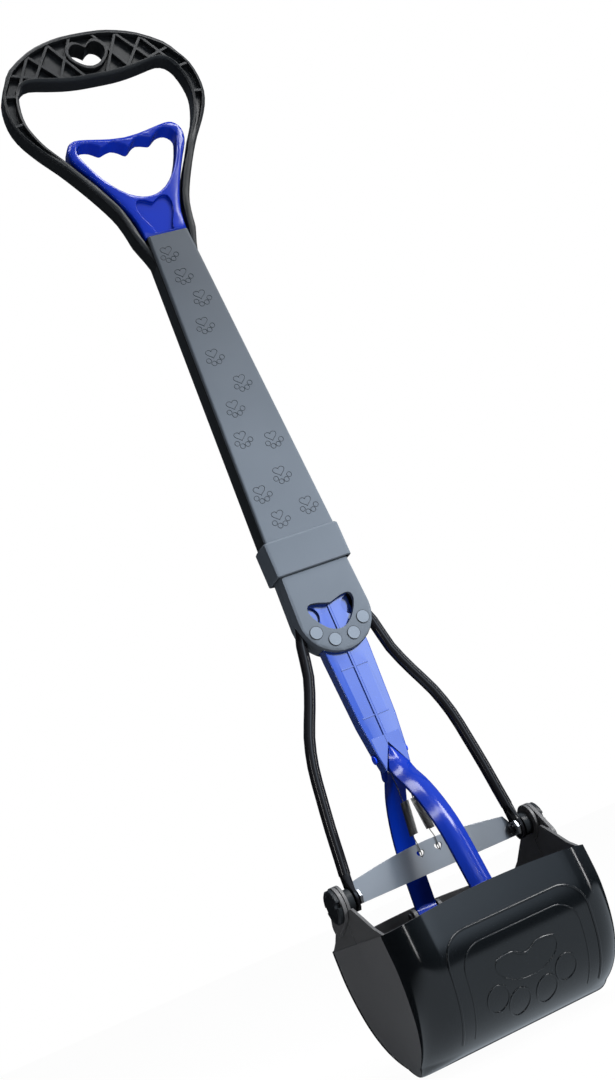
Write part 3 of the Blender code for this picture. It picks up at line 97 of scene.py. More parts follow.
# CAD nodes whose facets are shaded as smooth curves
SMOOTHED = (
    "handle_frame", "trigger", "front_jaw", "rear_jaw", "front_arm", "rear_arm", "wire_left", "wire_right",
    "pivot_cap_left", "pivot_cap_right", "spacer_left", "spacer_right", "lower_front_shell",
    "lower_rear_shell", "tube_cover", "joint_collar", "pull_rod", "cross_strap",
)
SMOOTH_ANGLE = math.radians(34)
WELD_DISTANCE = 0.00001
# How far a curved piece's own shadow is held back, so that grazing light doesn't show its facets
SHADE_OFFSET = 0.25

# Angles in degrees over which an edge of an added piece stays sharp
EDGE_ANGLE = 35
ROUND_EDGE_ANGLE = 60
COIL_EDGE_ANGLE = 80

# The mottling of every surface: its noise, the stretch of it over which the colour changes,
# what it adds to black, and how far the gloss strays from the roughness
MOTTLE_SCALE = 14
MOTTLE_DETAIL = 4
MOTTLE_LOW = 0.3
MOTTLE_HIGH = 0.7
MOTTLE_LIFT = 0.004
GLOSS_STRAY = 0.2
# The clear coat, the softened edges, the waves and the grain of every surface that has them
COAT_ROUGHNESS = 0.08
EDGE_SAMPLES = 4
WAVE_DETAIL = 1
WAVE_STRENGTH = 1.0
GRAIN_DETAIL = 2
GRAIN_STRENGTH = 0.35

# The finish that materials share, and what each has of its own. Wear is how far the colour strays, waves
# and grain have the scale of their noise and a depth in metres, and edges are softened by a radius
PLAIN_FINISH = {
    "wear": 0.06, "metallic": 0.0, "specular": 0.35, "coat": 0.0, "coat_ior": 1.5, "edge": 0.0004,
    "wave": 0, "wave_depth": 0.0, "grain": 0, "grain_depth": 0.0,
}
GLOSSY_BLUE = {
    "roughness": 0.17, "specular": 0.4, "coat": 0.15, "edge": 0.0008, "grain": 120, "grain_depth": 0.00002,
}
FINISHES = {
    "charcoal": {"roughness": 0.34, "specular": 0.22, "edge": 0.0007, "grain": 900, "grain_depth": 0.00005},
    "tube_grey": {"roughness": 0.42, "specular": 0.3, "grain": 1100, "grain_depth": 0.00004},
    "disc_grey": {
        "roughness": 0.40, "specular": 0.3, "wear": 0.15, "edge": 0.0, "grain": 700, "grain_depth": 0.0001,
    },
    "mark_grey": {"roughness": 0.45, "specular": 0.2, "edge": 0.0, "grain": 1100, "grain_depth": 0.00004},
    "jaw_dull": {"roughness": 0.45, "specular": 0.5, "edge": 0.0006, "grain": 900, "grain_depth": 0.00003},
    "jaw_gloss": {"roughness": 0.12, "specular": 0.6, "edge": 0.0, "wave": 18, "wave_depth": 0.0003},
    "royal_blue": GLOSSY_BLUE,
    "link_blue": GLOSSY_BLUE,
    "rod_blue": {"roughness": 0.14, "coat": 1.0, "coat_ior": 2.5, "wave": 40, "wave_depth": 0.0014},
    "coated_steel": {"roughness": 0.07, "specular": 0.6, "edge": 0.0},
    "strap_steel": {"roughness": 0.30, "metallic": 0.85, "edge": 0.0003, "wave": 22, "wave_depth": 0.0006},
    "zinc": {"roughness": 0.30, "metallic": 1.0, "grain": 700, "grain_depth": 0.00003},
    "spring_steel": {"roughness": 0.55, "specular": 0.1, "edge": 0.0},
}
# How bright the toe discs and the raised marks are, as shares of the tube's grey
GREY_SHARES = {"disc_grey": 1.5, "mark_grey": 0.35}

# Jaw sizes, as in the CAD
JAW_HALF_WIDTH = 0.0670
JAW_LIP_HALF_WIDTH = 0.0620
JAW_REACH = 0.0670
JAW_RIM_Z = -0.0242
JAW_RIM_ARCH = 0.0044
JAW_LIP_Z = -0.1055
JAW_CORNER = 0.0220
JAW_CORNER_SHARE = 0.72
SEAM_HALF = 0.00015

# The smooth skin over each jaw: how far it stands out, its rows, the steps between the profile's points,
# and its columns on each side, round each corner and over half of the front
SKIN_OUT = 0.00025
SKIN_ROWS = 56
PROFILE_STEPS = 6
SIDE_COLUMNS = 4
CORNER_STEPS = 14
FRONT_COLUMNS = 10

# Shares of the jaw's depth below its rim, and there of its reach and of its narrowing towards the lip
JAW_PROFILE_SHARES = (
    (0.0, 1.0, 0.0), (0.12, 1.024, 0.03), (0.25, 1.034, 0.07), (0.38, 1.012, 0.12),
    (0.50, 0.972, 0.18), (0.61, 0.916, 0.26), (0.71, 0.836, 0.36), (0.80, 0.730, 0.48),
    (0.88, 0.590, 0.62), (0.945, 0.415, 0.78), (0.985, 0.215, 0.92), (1.0, 0.075, 1.0),
)

# Embossed outlines on each jaw: half width, top, corner radius and bead of the two arches
ARCHES = ((0.0460, -0.0380, 0.0160, 0.00080), (0.0380, -0.0470, 0.0140, 0.00045))
ARCH_LOW = -0.0950
ARCH_STEPS = 10
PAD_HALF_WIDTH = 0.0200
PAD_TOP = -0.0600
PAD_HEIGHT = 0.0160
# Shares of the pad's half width and height, along its wavy top and round its bottom
PAD_TOP_SHARES = ((-0.94, -0.06), (-0.70, 0.0), (-0.40, 0.0), (-0.20, -0.13), (0.0, -0.21))
PAD_LOW_SHARES = ((-0.94, -0.06), (-1.0, -0.32), (-0.84, -0.66), (-0.45, -0.92), (0.0, -1.0))
PAD_STEPS = 4
TOE_RADIUS = 0.0070
TOE_STEPS = 32
TOES = ((-0.0225, -0.0800), (-0.0090, -0.0865), (0.0090, -0.0865), (0.0225, -0.0800))
# Beads of the pad's wavy top, of its bottom and of the toes
WAVE_BEAD = 0.00080
FAINT_BEAD = 0.00035
TOE_BEAD = 0.00055
LINE_STEP = 0.0015
BEAD_SIDES = 8

# Middles of the paw marks on the tube, as distances across and above the pivots
PAW_MARKS = (
    (-0.0059, 0.4244), (-0.0026, 0.4067), (0.0032, 0.3886), (-0.0028, 0.3694), (-0.0055, 0.3463),
    (0.0050, 0.3243), (-0.0067, 0.3088), (-0.0103, 0.2873), (0.0090, 0.2816), (0.0043, 0.2576),
    (-0.0131, 0.2491), (0.0127, 0.2335), (-0.0085, 0.2303),
)
# Each mark's heart: its place from the mark's middle, across and up, its width and its height.
# Its toes' places are given in the same way
PAW_HEART = (-0.0004, 0.0025, 0.0080, 0.0074)
HEART_STEPS = 26
PAW_TOES = ((-0.0043, -0.0021), (-0.0015, -0.0047), (0.0022, -0.0043), (0.0051, -0.0017))
PAW_TOE_RADIUS = 0.00165
PAW_TOE_STEPS = 20

# Toe discs of the lower body. All but how far they stand out is as in the CAD
BODY_LOW = 0.1375
BODY_LOW_HALF = 0.0250
BODY_TOE_RADIUS = 0.0041
BODY_TOE_STEPS = 28
DISC_OUT = 0.00012
BODY_TOE_SHARES = ((-0.656, 0.66), (-0.26, 0.36), (0.26, 0.36), (0.656, 0.66))

# Springs: the CAD's route with finer and closer coils
SPRING_WIRE = 0.00031
SPRING_COIL_RADIUS = 0.0025
SPRING_TURNS = 29
SPRING_COIL_HIGH = 0.0405
SPRING_COIL_LOW = 0.0200
SPRING_TOP_X = 0.0036
SPRING_HOLE_X = 0.0062
SPRING_HOLE_Z = 0.0080
STRAP_MIDDLE_Y = 0.00445
STRAP_HALF_THICK = 0.00075
SPRING_CLEAR = 0.0003
ROD_PIN_Z = 0.0700
ROD_PIN_RADIUS = 0.0020
COIL_POINTS = 14
WIRE_SIDES = 6
# Where the top hook starts and the step of both hooks in degrees, and the wire's legs between the hooks
# and the coil, in coil radii
HOOK_START = -60
HOOK_STEP = 20
TOP_LEG_RADII = 3
LOW_LEG_RADII = 2.2
# How far back the coil's top leans, as a share of the top hook's reach
COIL_LEAN_SHARE = 0.4
# The low hook's room round the strap, in wires and in clearances
HOOK_WIRES = 1.2
HOOK_CLEARANCES = 2

# Web in the notch of the rod's end, just behind the rod's front
ROD_NOTCH_Z = 0.0770
ROD_NOTCH_WIDTH = 0.0160
ROD_TIP_Z = 0.0610
WEB_FRONT = -0.00335
WEB_BACK = -0.00295
WEB_LAP = 0.0006
WEB_DROP = 0.0012
WEB_MOST_HALF = 0.0071
WEB_ROWS = 8

# Coating of the bent wires. The shares are of the way across from the wire's place inside the body
# to its eye, and of its top's height
COATED_RADIUS = 0.0036
COATING_STEPS = 2
COATING_SIDES = 24
WIRE_INSIDE_X = 0.0192
WIRE_EYE_X = 0.0577
WIRE_TOP = 0.1920
WIRE_SHARES = (
    (0.0, 1.0), (0.0, 0.92), (0.03, 0.86), (0.155, 0.786), (0.255, 0.685), (0.44, 0.592),
    (0.64, 0.505), (0.772, 0.415), (0.845, 0.32), (0.91, 0.22), (0.955, 0.13), (0.985, 0.075),
)

# The floor, which lies just below the object and fades into the white background
FLOOR_HALF = 8.0
FLOOR_DROP = 0.002
FLOOR_GLOW = 0.97
FLOOR_COLOUR = (0.92, 0.92, 0.92, 1)
FLOOR_ROUGHNESS = 0.9

# The dome that reflections see. It brightens with height and from the left to the right, over the given
# shares of its radius
TENT_RADIUS = 4.0
TENT_SIDES = 48
TENT_RISE_SHARES = (-0.12, 0.55)
TENT_ACROSS_SHARES = (-0.75, 0.20)
TENT_DARK = (0.010, 0.011, 0.013, 1)
TENT_LIGHT = (0.36, 0.42, 0.50, 1)

# Each card that reflections see: its name, place, tilt in degrees, width and height, colour and strength.
# Then the shares of its height and width over which it comes and goes, upwards and to the right
CARDS = (
    (
        "window", (0.62, -1.75, -0.45), 0, (1.3, 1.5), (0.72, 0.85, 1.0), 1.7,
        (0.0, 0.8), (0.85, 1.0), (0.0, 0.12), (0.3, 1.0),
    ),
    (
        "table", (0.3, -0.05, -0.80), 90, (3.0, 0.8), (0.80, 0.90, 1.0), 0.6,
        (0.0, 0.1), (0.93, 1.0), (0.1, 0.3), (0.7, 1.0),
    ),
    (
        "strip", (0.0, -1.3, 1.25), 0, (3.6, 0.44), (1.0, 1.0, 1.0), 13.0,
        (0.0, 0.3), (0.7, 1.0), (0.0, 0.1), (0.9, 1.0),
    ),
    (
        "left_strip", (-1.6, -1.1, -0.25), 0, (0.2, 1.3), (1.0, 1.0, 1.0), 10.0,
        (0.0, 0.4), (0.8, 1.0), (0.0, 0.3), (0.7, 1.0),
    ),
    (
        "right_strip", (1.6, -0.9, -0.35), 0, (0.2, 1.5), (1.0, 1.0, 1.0), 15.0,
        (0.0, 0.3), (0.8, 1.0), (0.0, 0.3), (0.7, 1.0),
    ),
)

# The world's soft light, which the camera and reflections see as white
SOFT_LIGHT = 0.36
SOFT_COLOUR = (0.93, 0.95, 1.0, 1)

# Each soft lamp: its place, what it faces, its width and height, and its power
LAMPS = (
    ("key", (1.5, -1.5, 1.3), (0, 0, -0.30), 1.0, 1.0, 54),
    ("top", (-0.1, -0.3, 1.4), (0, 0, -0.30), 1.0, 0.5, 16),
)
# The pool of light on the tube's lower end: its place, what it faces, its power, width in degrees
# and the radius of its bulb
POOL = ((0.8, -1.6, 0.1), (0, 0, -0.44), 380, 17, 0.12)
POOL_FADE = 1.0

# The camera's place, and which way its right and its down point
CAMERA_PLACE = (-0.3437, -0.8550, PIVOT_Z)
CAMERA_RIGHT = (0.8814, -0.2633, -0.3922)
CAMERA_DOWN = (-0.2942, 0.3436, -0.8919)
SENSOR_WIDTH = 36
NEAR_CLIP = 0.01


class ScooperLook(bpy.types.PropertyGroup):
    """Colours and sizes that a user would change."""

    charcoal: bpy.props.FloatVectorProperty(
        name="Charcoal plastic", description="Colour of the loop handle, the spacers and the caps",
        subtype="COLOR", size=3, min=0, max=1, default=(0.012, 0.014, 0.016),
    )
    tube_grey: bpy.props.FloatVectorProperty(
        name="Tube plastic", description="Colour of the tube cover, the collar and the lower body",
        subtype="COLOR", size=3, min=0, max=1, default=(0.072, 0.086, 0.105),
    )
    jaw_gloss: bpy.props.FloatVectorProperty(
        name="Jaw fronts", description="Colour of the jaws' glossy fronts",
        subtype="COLOR", size=3, min=0, max=1, default=(0.003, 0.004, 0.005),
    )
    # A grey far paler than the black jaw, painted light on the jaws' sides and insides; their finish is dull
    jaw_dull: bpy.props.FloatVectorProperty(
        name="Jaw sides", description="Colour of the jaws' dull sides and insides",
        subtype="COLOR", size=3, min=0, max=1, default=(0.080, 0.081, 0.084),
    )
    royal_blue: bpy.props.FloatVectorProperty(
        name="Blue plastic", description="Colour of the trigger and the rod's pin",
        subtype="COLOR", size=3, min=0, max=1, default=(0.002, 0.028, 0.46),
    )
    link_blue: bpy.props.FloatVectorProperty(
        name="Link plastic", description="Colour of the curved links and the web between them",
        subtype="COLOR", size=3, min=0, max=1, default=(0.001, 0.014, 0.19),
    )
    rod_blue: bpy.props.FloatVectorProperty(
        name="Rod plastic", description="Colour of the pull rod",
        subtype="COLOR", size=3, min=0, max=1, default=(0.020, 0.052, 0.28),
    )
    coated_steel: bpy.props.FloatVectorProperty(
        name="Coated steel", description="Colour of the bent wires and the pins",
        subtype="COLOR", size=3, min=0, max=1, default=(0.005, 0.005, 0.006),
    )
    strap_steel: bpy.props.FloatVectorProperty(
        name="Strap steel", description="Colour of the strap across the jaws",
        subtype="COLOR", size=3, min=0, max=1, default=(0.38, 0.40, 0.43),
    )
    zinc: bpy.props.FloatVectorProperty(
        name="Zinc", description="Colour of the screws",
        subtype="COLOR", size=3, min=0, max=1, default=(0.42, 0.43, 0.45),
    )
    spring_steel: bpy.props.FloatVectorProperty(
        name="Spring steel", description="Colour of the springs",
        subtype="COLOR", size=3, min=0, max=1, default=(0.012, 0.010, 0.008),
    )
    mark_height: bpy.props.FloatProperty(
        name="Mark height", description="How far the outlines of the paw marks stand out of the tube",
        subtype="DISTANCE", min=0.0001, max=0.001, default=0.00022,
    )
    lens: bpy.props.FloatProperty(
        name="Lens", description="Focal length of the camera in millimetres", min=20, max=200, default=50,
    )


def look():
    """The values that the user may change."""
    return bpy.context.scene.scooper_look


def link(tree, source, output, target, name):
    tree.links.new(source.outputs[output], target.inputs[name])


def combined(tree, operation, first, second):
    """The product, or the larger, of two outputs, each given as its node and its name."""
    both = tree.nodes.new("ShaderNodeMath")
    both.operation = operation
    link(tree, *first, both, 0)
    link(tree, *second, both, 1)
    return both, "Value"


def noise(tree, place, scale, detail):
    """A noise that is fixed to the piece."""
    made = tree.nodes.new("ShaderNodeTexNoise")
    made.inputs["Scale"].default_value = scale
    made.inputs["Detail"].default_value = detail
    link(tree, place, "Object", made, "Vector")
    return made


def surface(name, colour):
    """A moulded or metal surface: mottled colour, uneven gloss, soft edges, broad waves and fine grain."""
    finish = {**PLAIN_FINISH, **FINISHES[name]}
    made = bpy.data.materials.new(name)
    made.use_nodes = True
    tree = made.node_tree
    shader = tree.nodes["Principled BSDF"]
    shader.inputs["Metallic"].default_value = finish["metallic"]
    shader.inputs["Specular IOR Level"].default_value = finish["specular"]
    shader.inputs["Coat Weight"].default_value = finish["coat"]
    shader.inputs["Coat Roughness"].default_value = COAT_ROUGHNESS
    shader.inputs["Coat IOR"].default_value = finish["coat_ior"]
    place = tree.nodes.new("ShaderNodeTexCoord")
    mottle = noise(tree, place, MOTTLE_SCALE, MOTTLE_DETAIL)
    wear = finish["wear"]
    tint = tree.nodes.new("ShaderNodeValToRGB")
    darkest, palest = tint.color_ramp.elements
    darkest.position = MOTTLE_LOW
    darkest.color = (*[c * (1 - wear) for c in colour], 1)
    palest.position = MOTTLE_HIGH
    palest.color = (*[min(c * (1 + wear) + wear * MOTTLE_LIFT, 1) for c in colour], 1)
    link(tree, mottle, "Fac", tint, "Fac")
    link(tree, tint, "Color", shader, "Base Color")
    gloss = tree.nodes.new("ShaderNodeMapRange")
    gloss.inputs["To Min"].default_value = finish["roughness"] * (1 - GLOSS_STRAY)
    gloss.inputs["To Max"].default_value = finish["roughness"] * (1 + GLOSS_STRAY)
    link(tree, mottle, "Fac", gloss, "Value")
    link(tree, gloss, "Result", shader, "Roughness")
    shape_surface(tree, place, shader, finish)


def shape_surface(tree, place, shader, finish):
    """Softens the edges and bends the surface into waves and grain, where the finish has them."""
    last = None
    if finish["edge"]:
        last = tree.nodes.new("ShaderNodeBevel")
        last.samples = EDGE_SAMPLES
        last.inputs["Radius"].default_value = finish["edge"]
    for kind, detail, strength in (
        ("wave", WAVE_DETAIL, WAVE_STRENGTH), ("grain", GRAIN_DETAIL, GRAIN_STRENGTH),
    ):
        depth = finish[f"{kind}_depth"]
        if not depth:
            continue
        rise = tree.nodes.new("ShaderNodeBump")
        rise.inputs["Strength"].default_value = strength
        rise.inputs["Distance"].default_value = depth
        link(tree, noise(tree, place, finish[kind], detail), "Fac", rise, "Height")
        if last:
            link(tree, last, "Normal", rise, "Normal")
        last = rise
    if last:
        link(tree, last, "Normal", shader, "Normal")


def material(name):
    return bpy.data.materials[name]


def smoothing():
    """A node group that shades faces as smooth, but for the edges sharper than the smoothing angle."""
    group = bpy.data.node_groups.new("soft_facets", "GeometryNodeTree")
    group.interface.new_socket("Geometry", in_out="INPUT", socket_type="NodeSocketGeometry")
    group.interface.new_socket("Geometry", in_out="OUTPUT", socket_type="NodeSocketGeometry")
    start, end = group.nodes.new("NodeGroupInput"), group.nodes.new("NodeGroupOutput")
    faces = group.nodes.new("GeometryNodeSetShadeSmooth")
    faces.domain = "FACE"
    edges = group.nodes.new("GeometryNodeSetShadeSmooth")
    edges.domain = "EDGE"
    edges.inputs["Shade Smooth"].default_value = False
    bend = group.nodes.new("GeometryNodeInputMeshEdgeAngle")
    sharper = group.nodes.new("FunctionNodeCompare")
    sharper.data_type = "FLOAT"
    sharper.operation = "GREATER_THAN"
    sharper.inputs["B"].default_value = SMOOTH_ANGLE
    link(group, start, "Geometry", faces, "Geometry")
    link(group, faces, "Geometry", edges, "Geometry")
    link(group, bend, "Unsigned Angle", sharper, "A")
    link(group, sharper, "Result", edges, "Selection")
    link(group, edges, "Geometry", end, "Geometry")
    return group


class SCOOPER_OT_paint(bpy.types.Operator):
    """Makes the materials, gives each CAD piece its own and shades its curves as smooth"""

    bl_idname = "scooper.paint"
    bl_label = "Paint the pieces"

    def execute(self, context):
        given = look()
        for name in FINISHES:
            if name in GREY_SHARES:
                surface(name, [c * GREY_SHARES[name] for c in given.tube_grey])
            else:
                surface(name, getattr(given, name))
        for name, nodes in NODE_LOOKS.items():
            for node in nodes:
                slots = NODES[node].data.materials
                slots.clear()
                slots.append(material(name))
        group = smoothing()
        for name in SMOOTHED:
            node = NODES[name]
            node.shadow_terminator_geometry_offset = SHADE_OFFSET
            node.shadow_terminator_shading_offset = SHADE_OFFSET
            node.modifiers.new("weld", "WELD").merge_threshold = WELD_DISTANCE
            node.modifiers.new("smooth", "NODES").node_group = group
            node.modifiers.new("flat_faces", "WEIGHTED_NORMAL").keep_sharp = True
        return {"FINISHED"}


def mesh_object(name, points, faces, look_name, edge_angle=EDGE_ANGLE):
    """A smooth piece, with its faces turned one way and its edges sharp over an angle in degrees."""
    mesh = bpy.data.meshes.new(name)
    mesh.from_pydata([tuple(p) for p in points], [], faces)
    shape = bmesh.new()
    shape.from_mesh(mesh)
    bmesh.ops.recalc_face_normals(shape, faces=shape.faces)
    shape.to_mesh(mesh)
    shape.free()
    mesh.materials.append(material(look_name))
    mesh.shade_smooth()
    mesh.set_sharp_from_angle(angle=math.radians(edge_angle))
    obj = bpy.data.objects.new(name, mesh)
    bpy.context.scene.collection.objects.link(obj)
    return obj


def smooth_curve(points, steps):
    """Points of a curve that runs smoothly through the given ones, ends included."""
    found = []
    for i in range(len(points) - 1):
        a, b = points[max(i - 1, 0)], points[i]
        c, d = points[i + 1], points[min(i + 2, len(points) - 1)]
        for k in range(steps):
            t = k / steps
            bend, twist = 2 * a - 5 * b + 4 * c - d, 3 * b - a - 3 * c + d
            found.append((2 * b + (c - a) * t + bend * t**2 + twist * t**3) / 2)
    found.append(points[-1])
    return found


def arc(centre, radius, start, end, steps):
    """Points along an arc between two angles in degrees, ends included."""
    turns = [math.radians(start + (end - start) * k / steps) for k in range(steps + 1)]
    return [(centre[0] + radius * math.cos(t), centre[1] + radius * math.sin(t)) for t in turns]


def ring_faces(count, sides, closed=False):
    """Faces between rings of points that follow each other, with a cap on each end unless they close."""
    faces = []
    for i in range(count if closed else count - 1):
        a, b = i * sides, (i + 1) % count * sides
        for k in range(sides):
            n = (k + 1) % sides
            faces.append((a + k, a + n, b + n, b + k))
    if not closed:
        faces.append(tuple(reversed(range(sides))))
        faces.append(tuple((count - 1) * sides + k for k in range(sides)))
    return faces


def tube(path, radius, sides, closed=False):
    """Points and faces of a round tube along a path in space."""
    points = []
    count = len(path)
    side = None
    for i, here in enumerate(path):
        after = path[(i + 1) % count] if closed or i + 1 < count else here
        before = path[i - 1] if closed or i else here
        along = (after - before).normalized()
        side = along.orthogonal() if side is None else side - along * side.dot(along)
        side.normalize()
        other = along.cross(side)
        for k in range(sides):
            turn = 2 * math.pi * k / sides
            points.append(here + radius * (math.cos(turn) * side + math.sin(turn) * other))
    return points, ring_faces(count, sides, closed)


def gather(parts):
    """Points and faces of several parts as one."""
    points, faces = [], []
    for some_points, some_faces in parts:
        first = len(points)
        points += some_points
        faces += [tuple(first + i for i in face) for face in some_faces]
    return points, faces


def heart_line(x, z, width, height):
    """Points round a heart, by the usual curve for one, about its middle."""
    found = []
    for k in range(HEART_STEPS):
        t = 2 * math.pi * k / HEART_STEPS
        u = math.sin(t) ** 3
        v = (13 * math.cos(t) - 5 * math.cos(2 * t) - 2 * math.cos(3 * t) - math.cos(4 * t)) / 17
        found.append((x + u * width / 2, z + v * height / 2))
    return found


def ring_line(x, z, radius, steps):
    """Points round a circle, with no point twice."""
    return arc((x, z), radius, 0, 360 * (steps - 1) / steps, steps - 1)


def jaw_profile():
    """Points down the jaw's front: height, reach and half width."""
    knots = []
    for index, (share, reach, narrow) in enumerate(JAW_PROFILE_SHARES):
        z = JAW_RIM_Z + (JAW_LIP_Z - JAW_RIM_Z) * share + (0 if index else JAW_RIM_ARCH)
        half = JAW_HALF_WIDTH + (JAW_LIP_HALF_WIDTH - JAW_HALF_WIDTH) * narrow
        knots.append(Vector((z, reach * JAW_REACH, half)))
    return smooth_curve(knots, PROFILE_STEPS)


def profile_at(profile, z):
    """The profile at a height."""
    for a, b in zip(profile, profile[1:]):
        if b.x <= z:
            return a.lerp(b, min(max((a.x - z) / (a.x - b.x), 0), 1))
    return profile[-1]


def jaw_corner(reach):
    """The radius of the jaw's corners, which shrinks with its reach towards the lip."""
    return min(JAW_CORNER, reach * JAW_CORNER_SHARE)


def jaw_front(profile, x, z):
    """The point of the front jaw's skin at that place across and height."""
    _, reach, half = profile_at(profile, z)
    corner = jaw_corner(reach)
    over = max(abs(x) - (half - corner), 0)
    inwards = corner - math.sqrt(max(corner**2 - over**2, 0))
    return Vector((x, -reach - SKIN_OUT + inwards, z))


def rim_height(x):
    """The height of the jaw's arched rim at a place across."""
    return JAW_RIM_Z + JAW_RIM_ARCH * max(1 - (x / JAW_HALF_WIDTH) ** 2, 0)


def plan_point(reach, half, column):
    """A place on the jaw's plan. Columns run from one seam round the front to the other."""
    corner = jaw_corner(reach)
    kind, share = column
    side = -1 if kind < 0 else 1
    if abs(kind) == 2:
        return side * half, -SEAM_HALF - (reach - corner - SEAM_HALF) * share
    if abs(kind) == 1:
        turn = math.pi / 2 * share
        return side * (half - corner + corner * math.cos(turn)), -reach + corner - corner * math.sin(turn)
    return (half - corner) * share, -reach


def skin_columns():
    """Each column of the skin: 2 for a side, 1 for a corner and 0 for the front, below 0 on the left, and
    the share of the way along that stretch."""
    sides = [k / SIDE_COLUMNS for k in range(SIDE_COLUMNS)]
    turns = [k / CORNER_STEPS for k in range(CORNER_STEPS)]
    left = [(-2, s) for s in sides] + [(-1, t) for t in turns]
    middle = [(0, k / FRONT_COLUMNS) for k in range(-FRONT_COLUMNS, FRONT_COLUMNS + 1)]
    right = [(1, t) for t in reversed(turns)] + [(2, s) for s in reversed(sides)]
    return left + middle + right


def jaw_skin(profile):
    """Points and faces of a smooth sheet just outside the jaw's outer face."""
    columns = skin_columns()
    count = len(columns)
    top = profile_at(profile, JAW_RIM_Z)
    points = []
    for j in range(SKIN_ROWS + 1):
        share = math.sin(math.pi / 2 * j / SKIN_ROWS)
        for column in columns:
            x, _ = plan_point(top.y, top.z, column)
            start = rim_height(x)
            at = profile_at(profile, start + (JAW_LIP_Z - start) * share)
            x, y = plan_point(at.y + SKIN_OUT, at.z + SKIN_OUT, column)
            points.append(Vector((x, y, at.x)))
    faces = []
    for j in range(SKIN_ROWS):
        for k in range(count - 1):
            a = j * count + k
            faces.append((a, a + 1, a + count + 1, a + count))
    return points, faces


def spread(line, closed=False):
    """The line with extra points, so that it follows a curved face."""
    found = []
    ends = line[1:] + line[:1] if closed else line[1:]
    for a, b in zip(line, ends):
        steps = max(int(math.dist(a, b) / LINE_STEP), 1)
        for k in range(steps):
            found.append((a[0] + (b[0] - a[0]) * k / steps, a[1] + (b[1] - a[1]) * k / steps))
    return found if closed else found + [line[-1]]


def pad_line(shares):
    """The pad's outline through the left half's points and the same points on the right."""
    left = [Vector((x * PAD_HALF_WIDTH, PAD_TOP + z * PAD_HEIGHT)) for x, z in shares]
    right = [Vector((-p.x, p.y)) for p in reversed(left[:-1])]
    return [tuple(p) for p in smooth_curve(left + right, PAD_STEPS)]


def jaw_lines():
    """Each embossed outline of a jaw: its points, whether it is closed, and its bead."""
    lines = []
    for half, top, corner, bead in ARCHES:
        line = [(-half, ARCH_LOW)]
        line += arc((corner - half, top - corner), corner, 180, 90, ARCH_STEPS)
        line += arc((half - corner, top - corner), corner, 90, 0, ARCH_STEPS)
        line.append((half, ARCH_LOW))
        lines.append((spread(line), False, bead))
    lines.append((pad_line(PAD_TOP_SHARES), False, WAVE_BEAD))
    lines.append((pad_line(PAD_LOW_SHARES), False, FAINT_BEAD))
    for x, z in TOES:
        lines.append((ring_line(x, z, TOE_RADIUS, TOE_STEPS), True, TOE_BEAD))
    return lines


class SCOOPER_OT_jaw_skins(bpy.types.Operator):
    """Covers both jaws with smooth gloss faces, paints light on their sides as a paler grey, and embosses
    their outlines
    """

    bl_idname = "scooper.jaw_skins"
    bl_label = "Smooth and emboss the jaws"

    def execute(self, context):
        profile = jaw_profile()
        skin = jaw_skin(profile)
        beads = []
        for line, closed, bead in jaw_lines():
            path = [jaw_front(profile, x, z) for x, z in line]
            beads.append(tube(path, bead, BEAD_SIDES, closed))
        for body, way in (("front_scoop", 1), ("rear_scoop", -1)):
            for name, (points, faces) in (("skin", skin), ("emboss", gather(beads))):
                turned = [Vector((way * p.x, way * p.y, p.z + PIVOT_Z)) for p in points]
                obj = mesh_object(f"{body}_{name}", turned, faces, "jaw_gloss", ROUND_EDGE_ANGLE)
                if name == "skin":
                    self.dull_and_lit_sides(obj.data)
                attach(obj, body)
        return {"FINISHED"}

    def dull_and_lit_sides(self, mesh):
        """Gives the columns of faces on the jaw's two sides the dull plastic, whose paler grey is painted
        light.
        """
        mesh.materials.append(material("jaw_dull"))
        across = len(skin_columns()) - 1
        for polygon in mesh.polygons:
            column = polygon.index % across
            polygon.material_index = int(min(column, across - 1 - column) < SIDE_COLUMNS)


class SCOOPER_OT_marks(bpy.types.Operator):
    """Raises the outlines of the paw marks on the tube, and lays discs with raised rims on the lower body"""

    bl_idname = "scooper.marks"
    bl_label = "Raise the marks"

    def execute(self, context):
        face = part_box("tube_cover")[0][1]
        heart_x, heart_z, width, height = PAW_HEART
        lines = []
        for x, z in PAW_MARKS:
            lines.append(heart_line(x + heart_x, z + heart_z, width, height))
            for toe_x, toe_z in PAW_TOES:
                lines.append(ring_line(x + toe_x, z + toe_z, PAW_TOE_RADIUS, PAW_TOE_STEPS))
        self.raise_lines("paw_marks", lines, face)
        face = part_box("lower_front_shell")[0][1]
        lines = []
        for across, up in BODY_TOE_SHARES:
            x, z = across * BODY_LOW_HALF, BODY_LOW + up * BODY_LOW_HALF
            lines.append(ring_line(x, z, BODY_TOE_RADIUS, BODY_TOE_STEPS))
        self.raise_lines("toe_rings", lines, face)
        discs = []
        for line in lines:
            rim = [Vector((x, face - DISC_OUT, z + PIVOT_Z)) for x, z in line]
            discs.append((rim, [tuple(range(len(rim)))]))
        obj = mesh_object("toe_discs", *gather(discs), "disc_grey")
        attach(obj, "handle")
        return {"FINISHED"}

    def raise_lines(self, name, lines, face):
        """Lays a bead of the marks' height along each line, on a face at that depth."""
        parts = []
        for line in lines:
            path = [Vector((x, face, z + PIVOT_Z)) for x, z in line]
            parts.append(tube(path, look().mark_height, BEAD_SIDES, closed=True))
        obj = mesh_object(name, *gather(parts), "mark_grey")
        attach(obj, "handle")


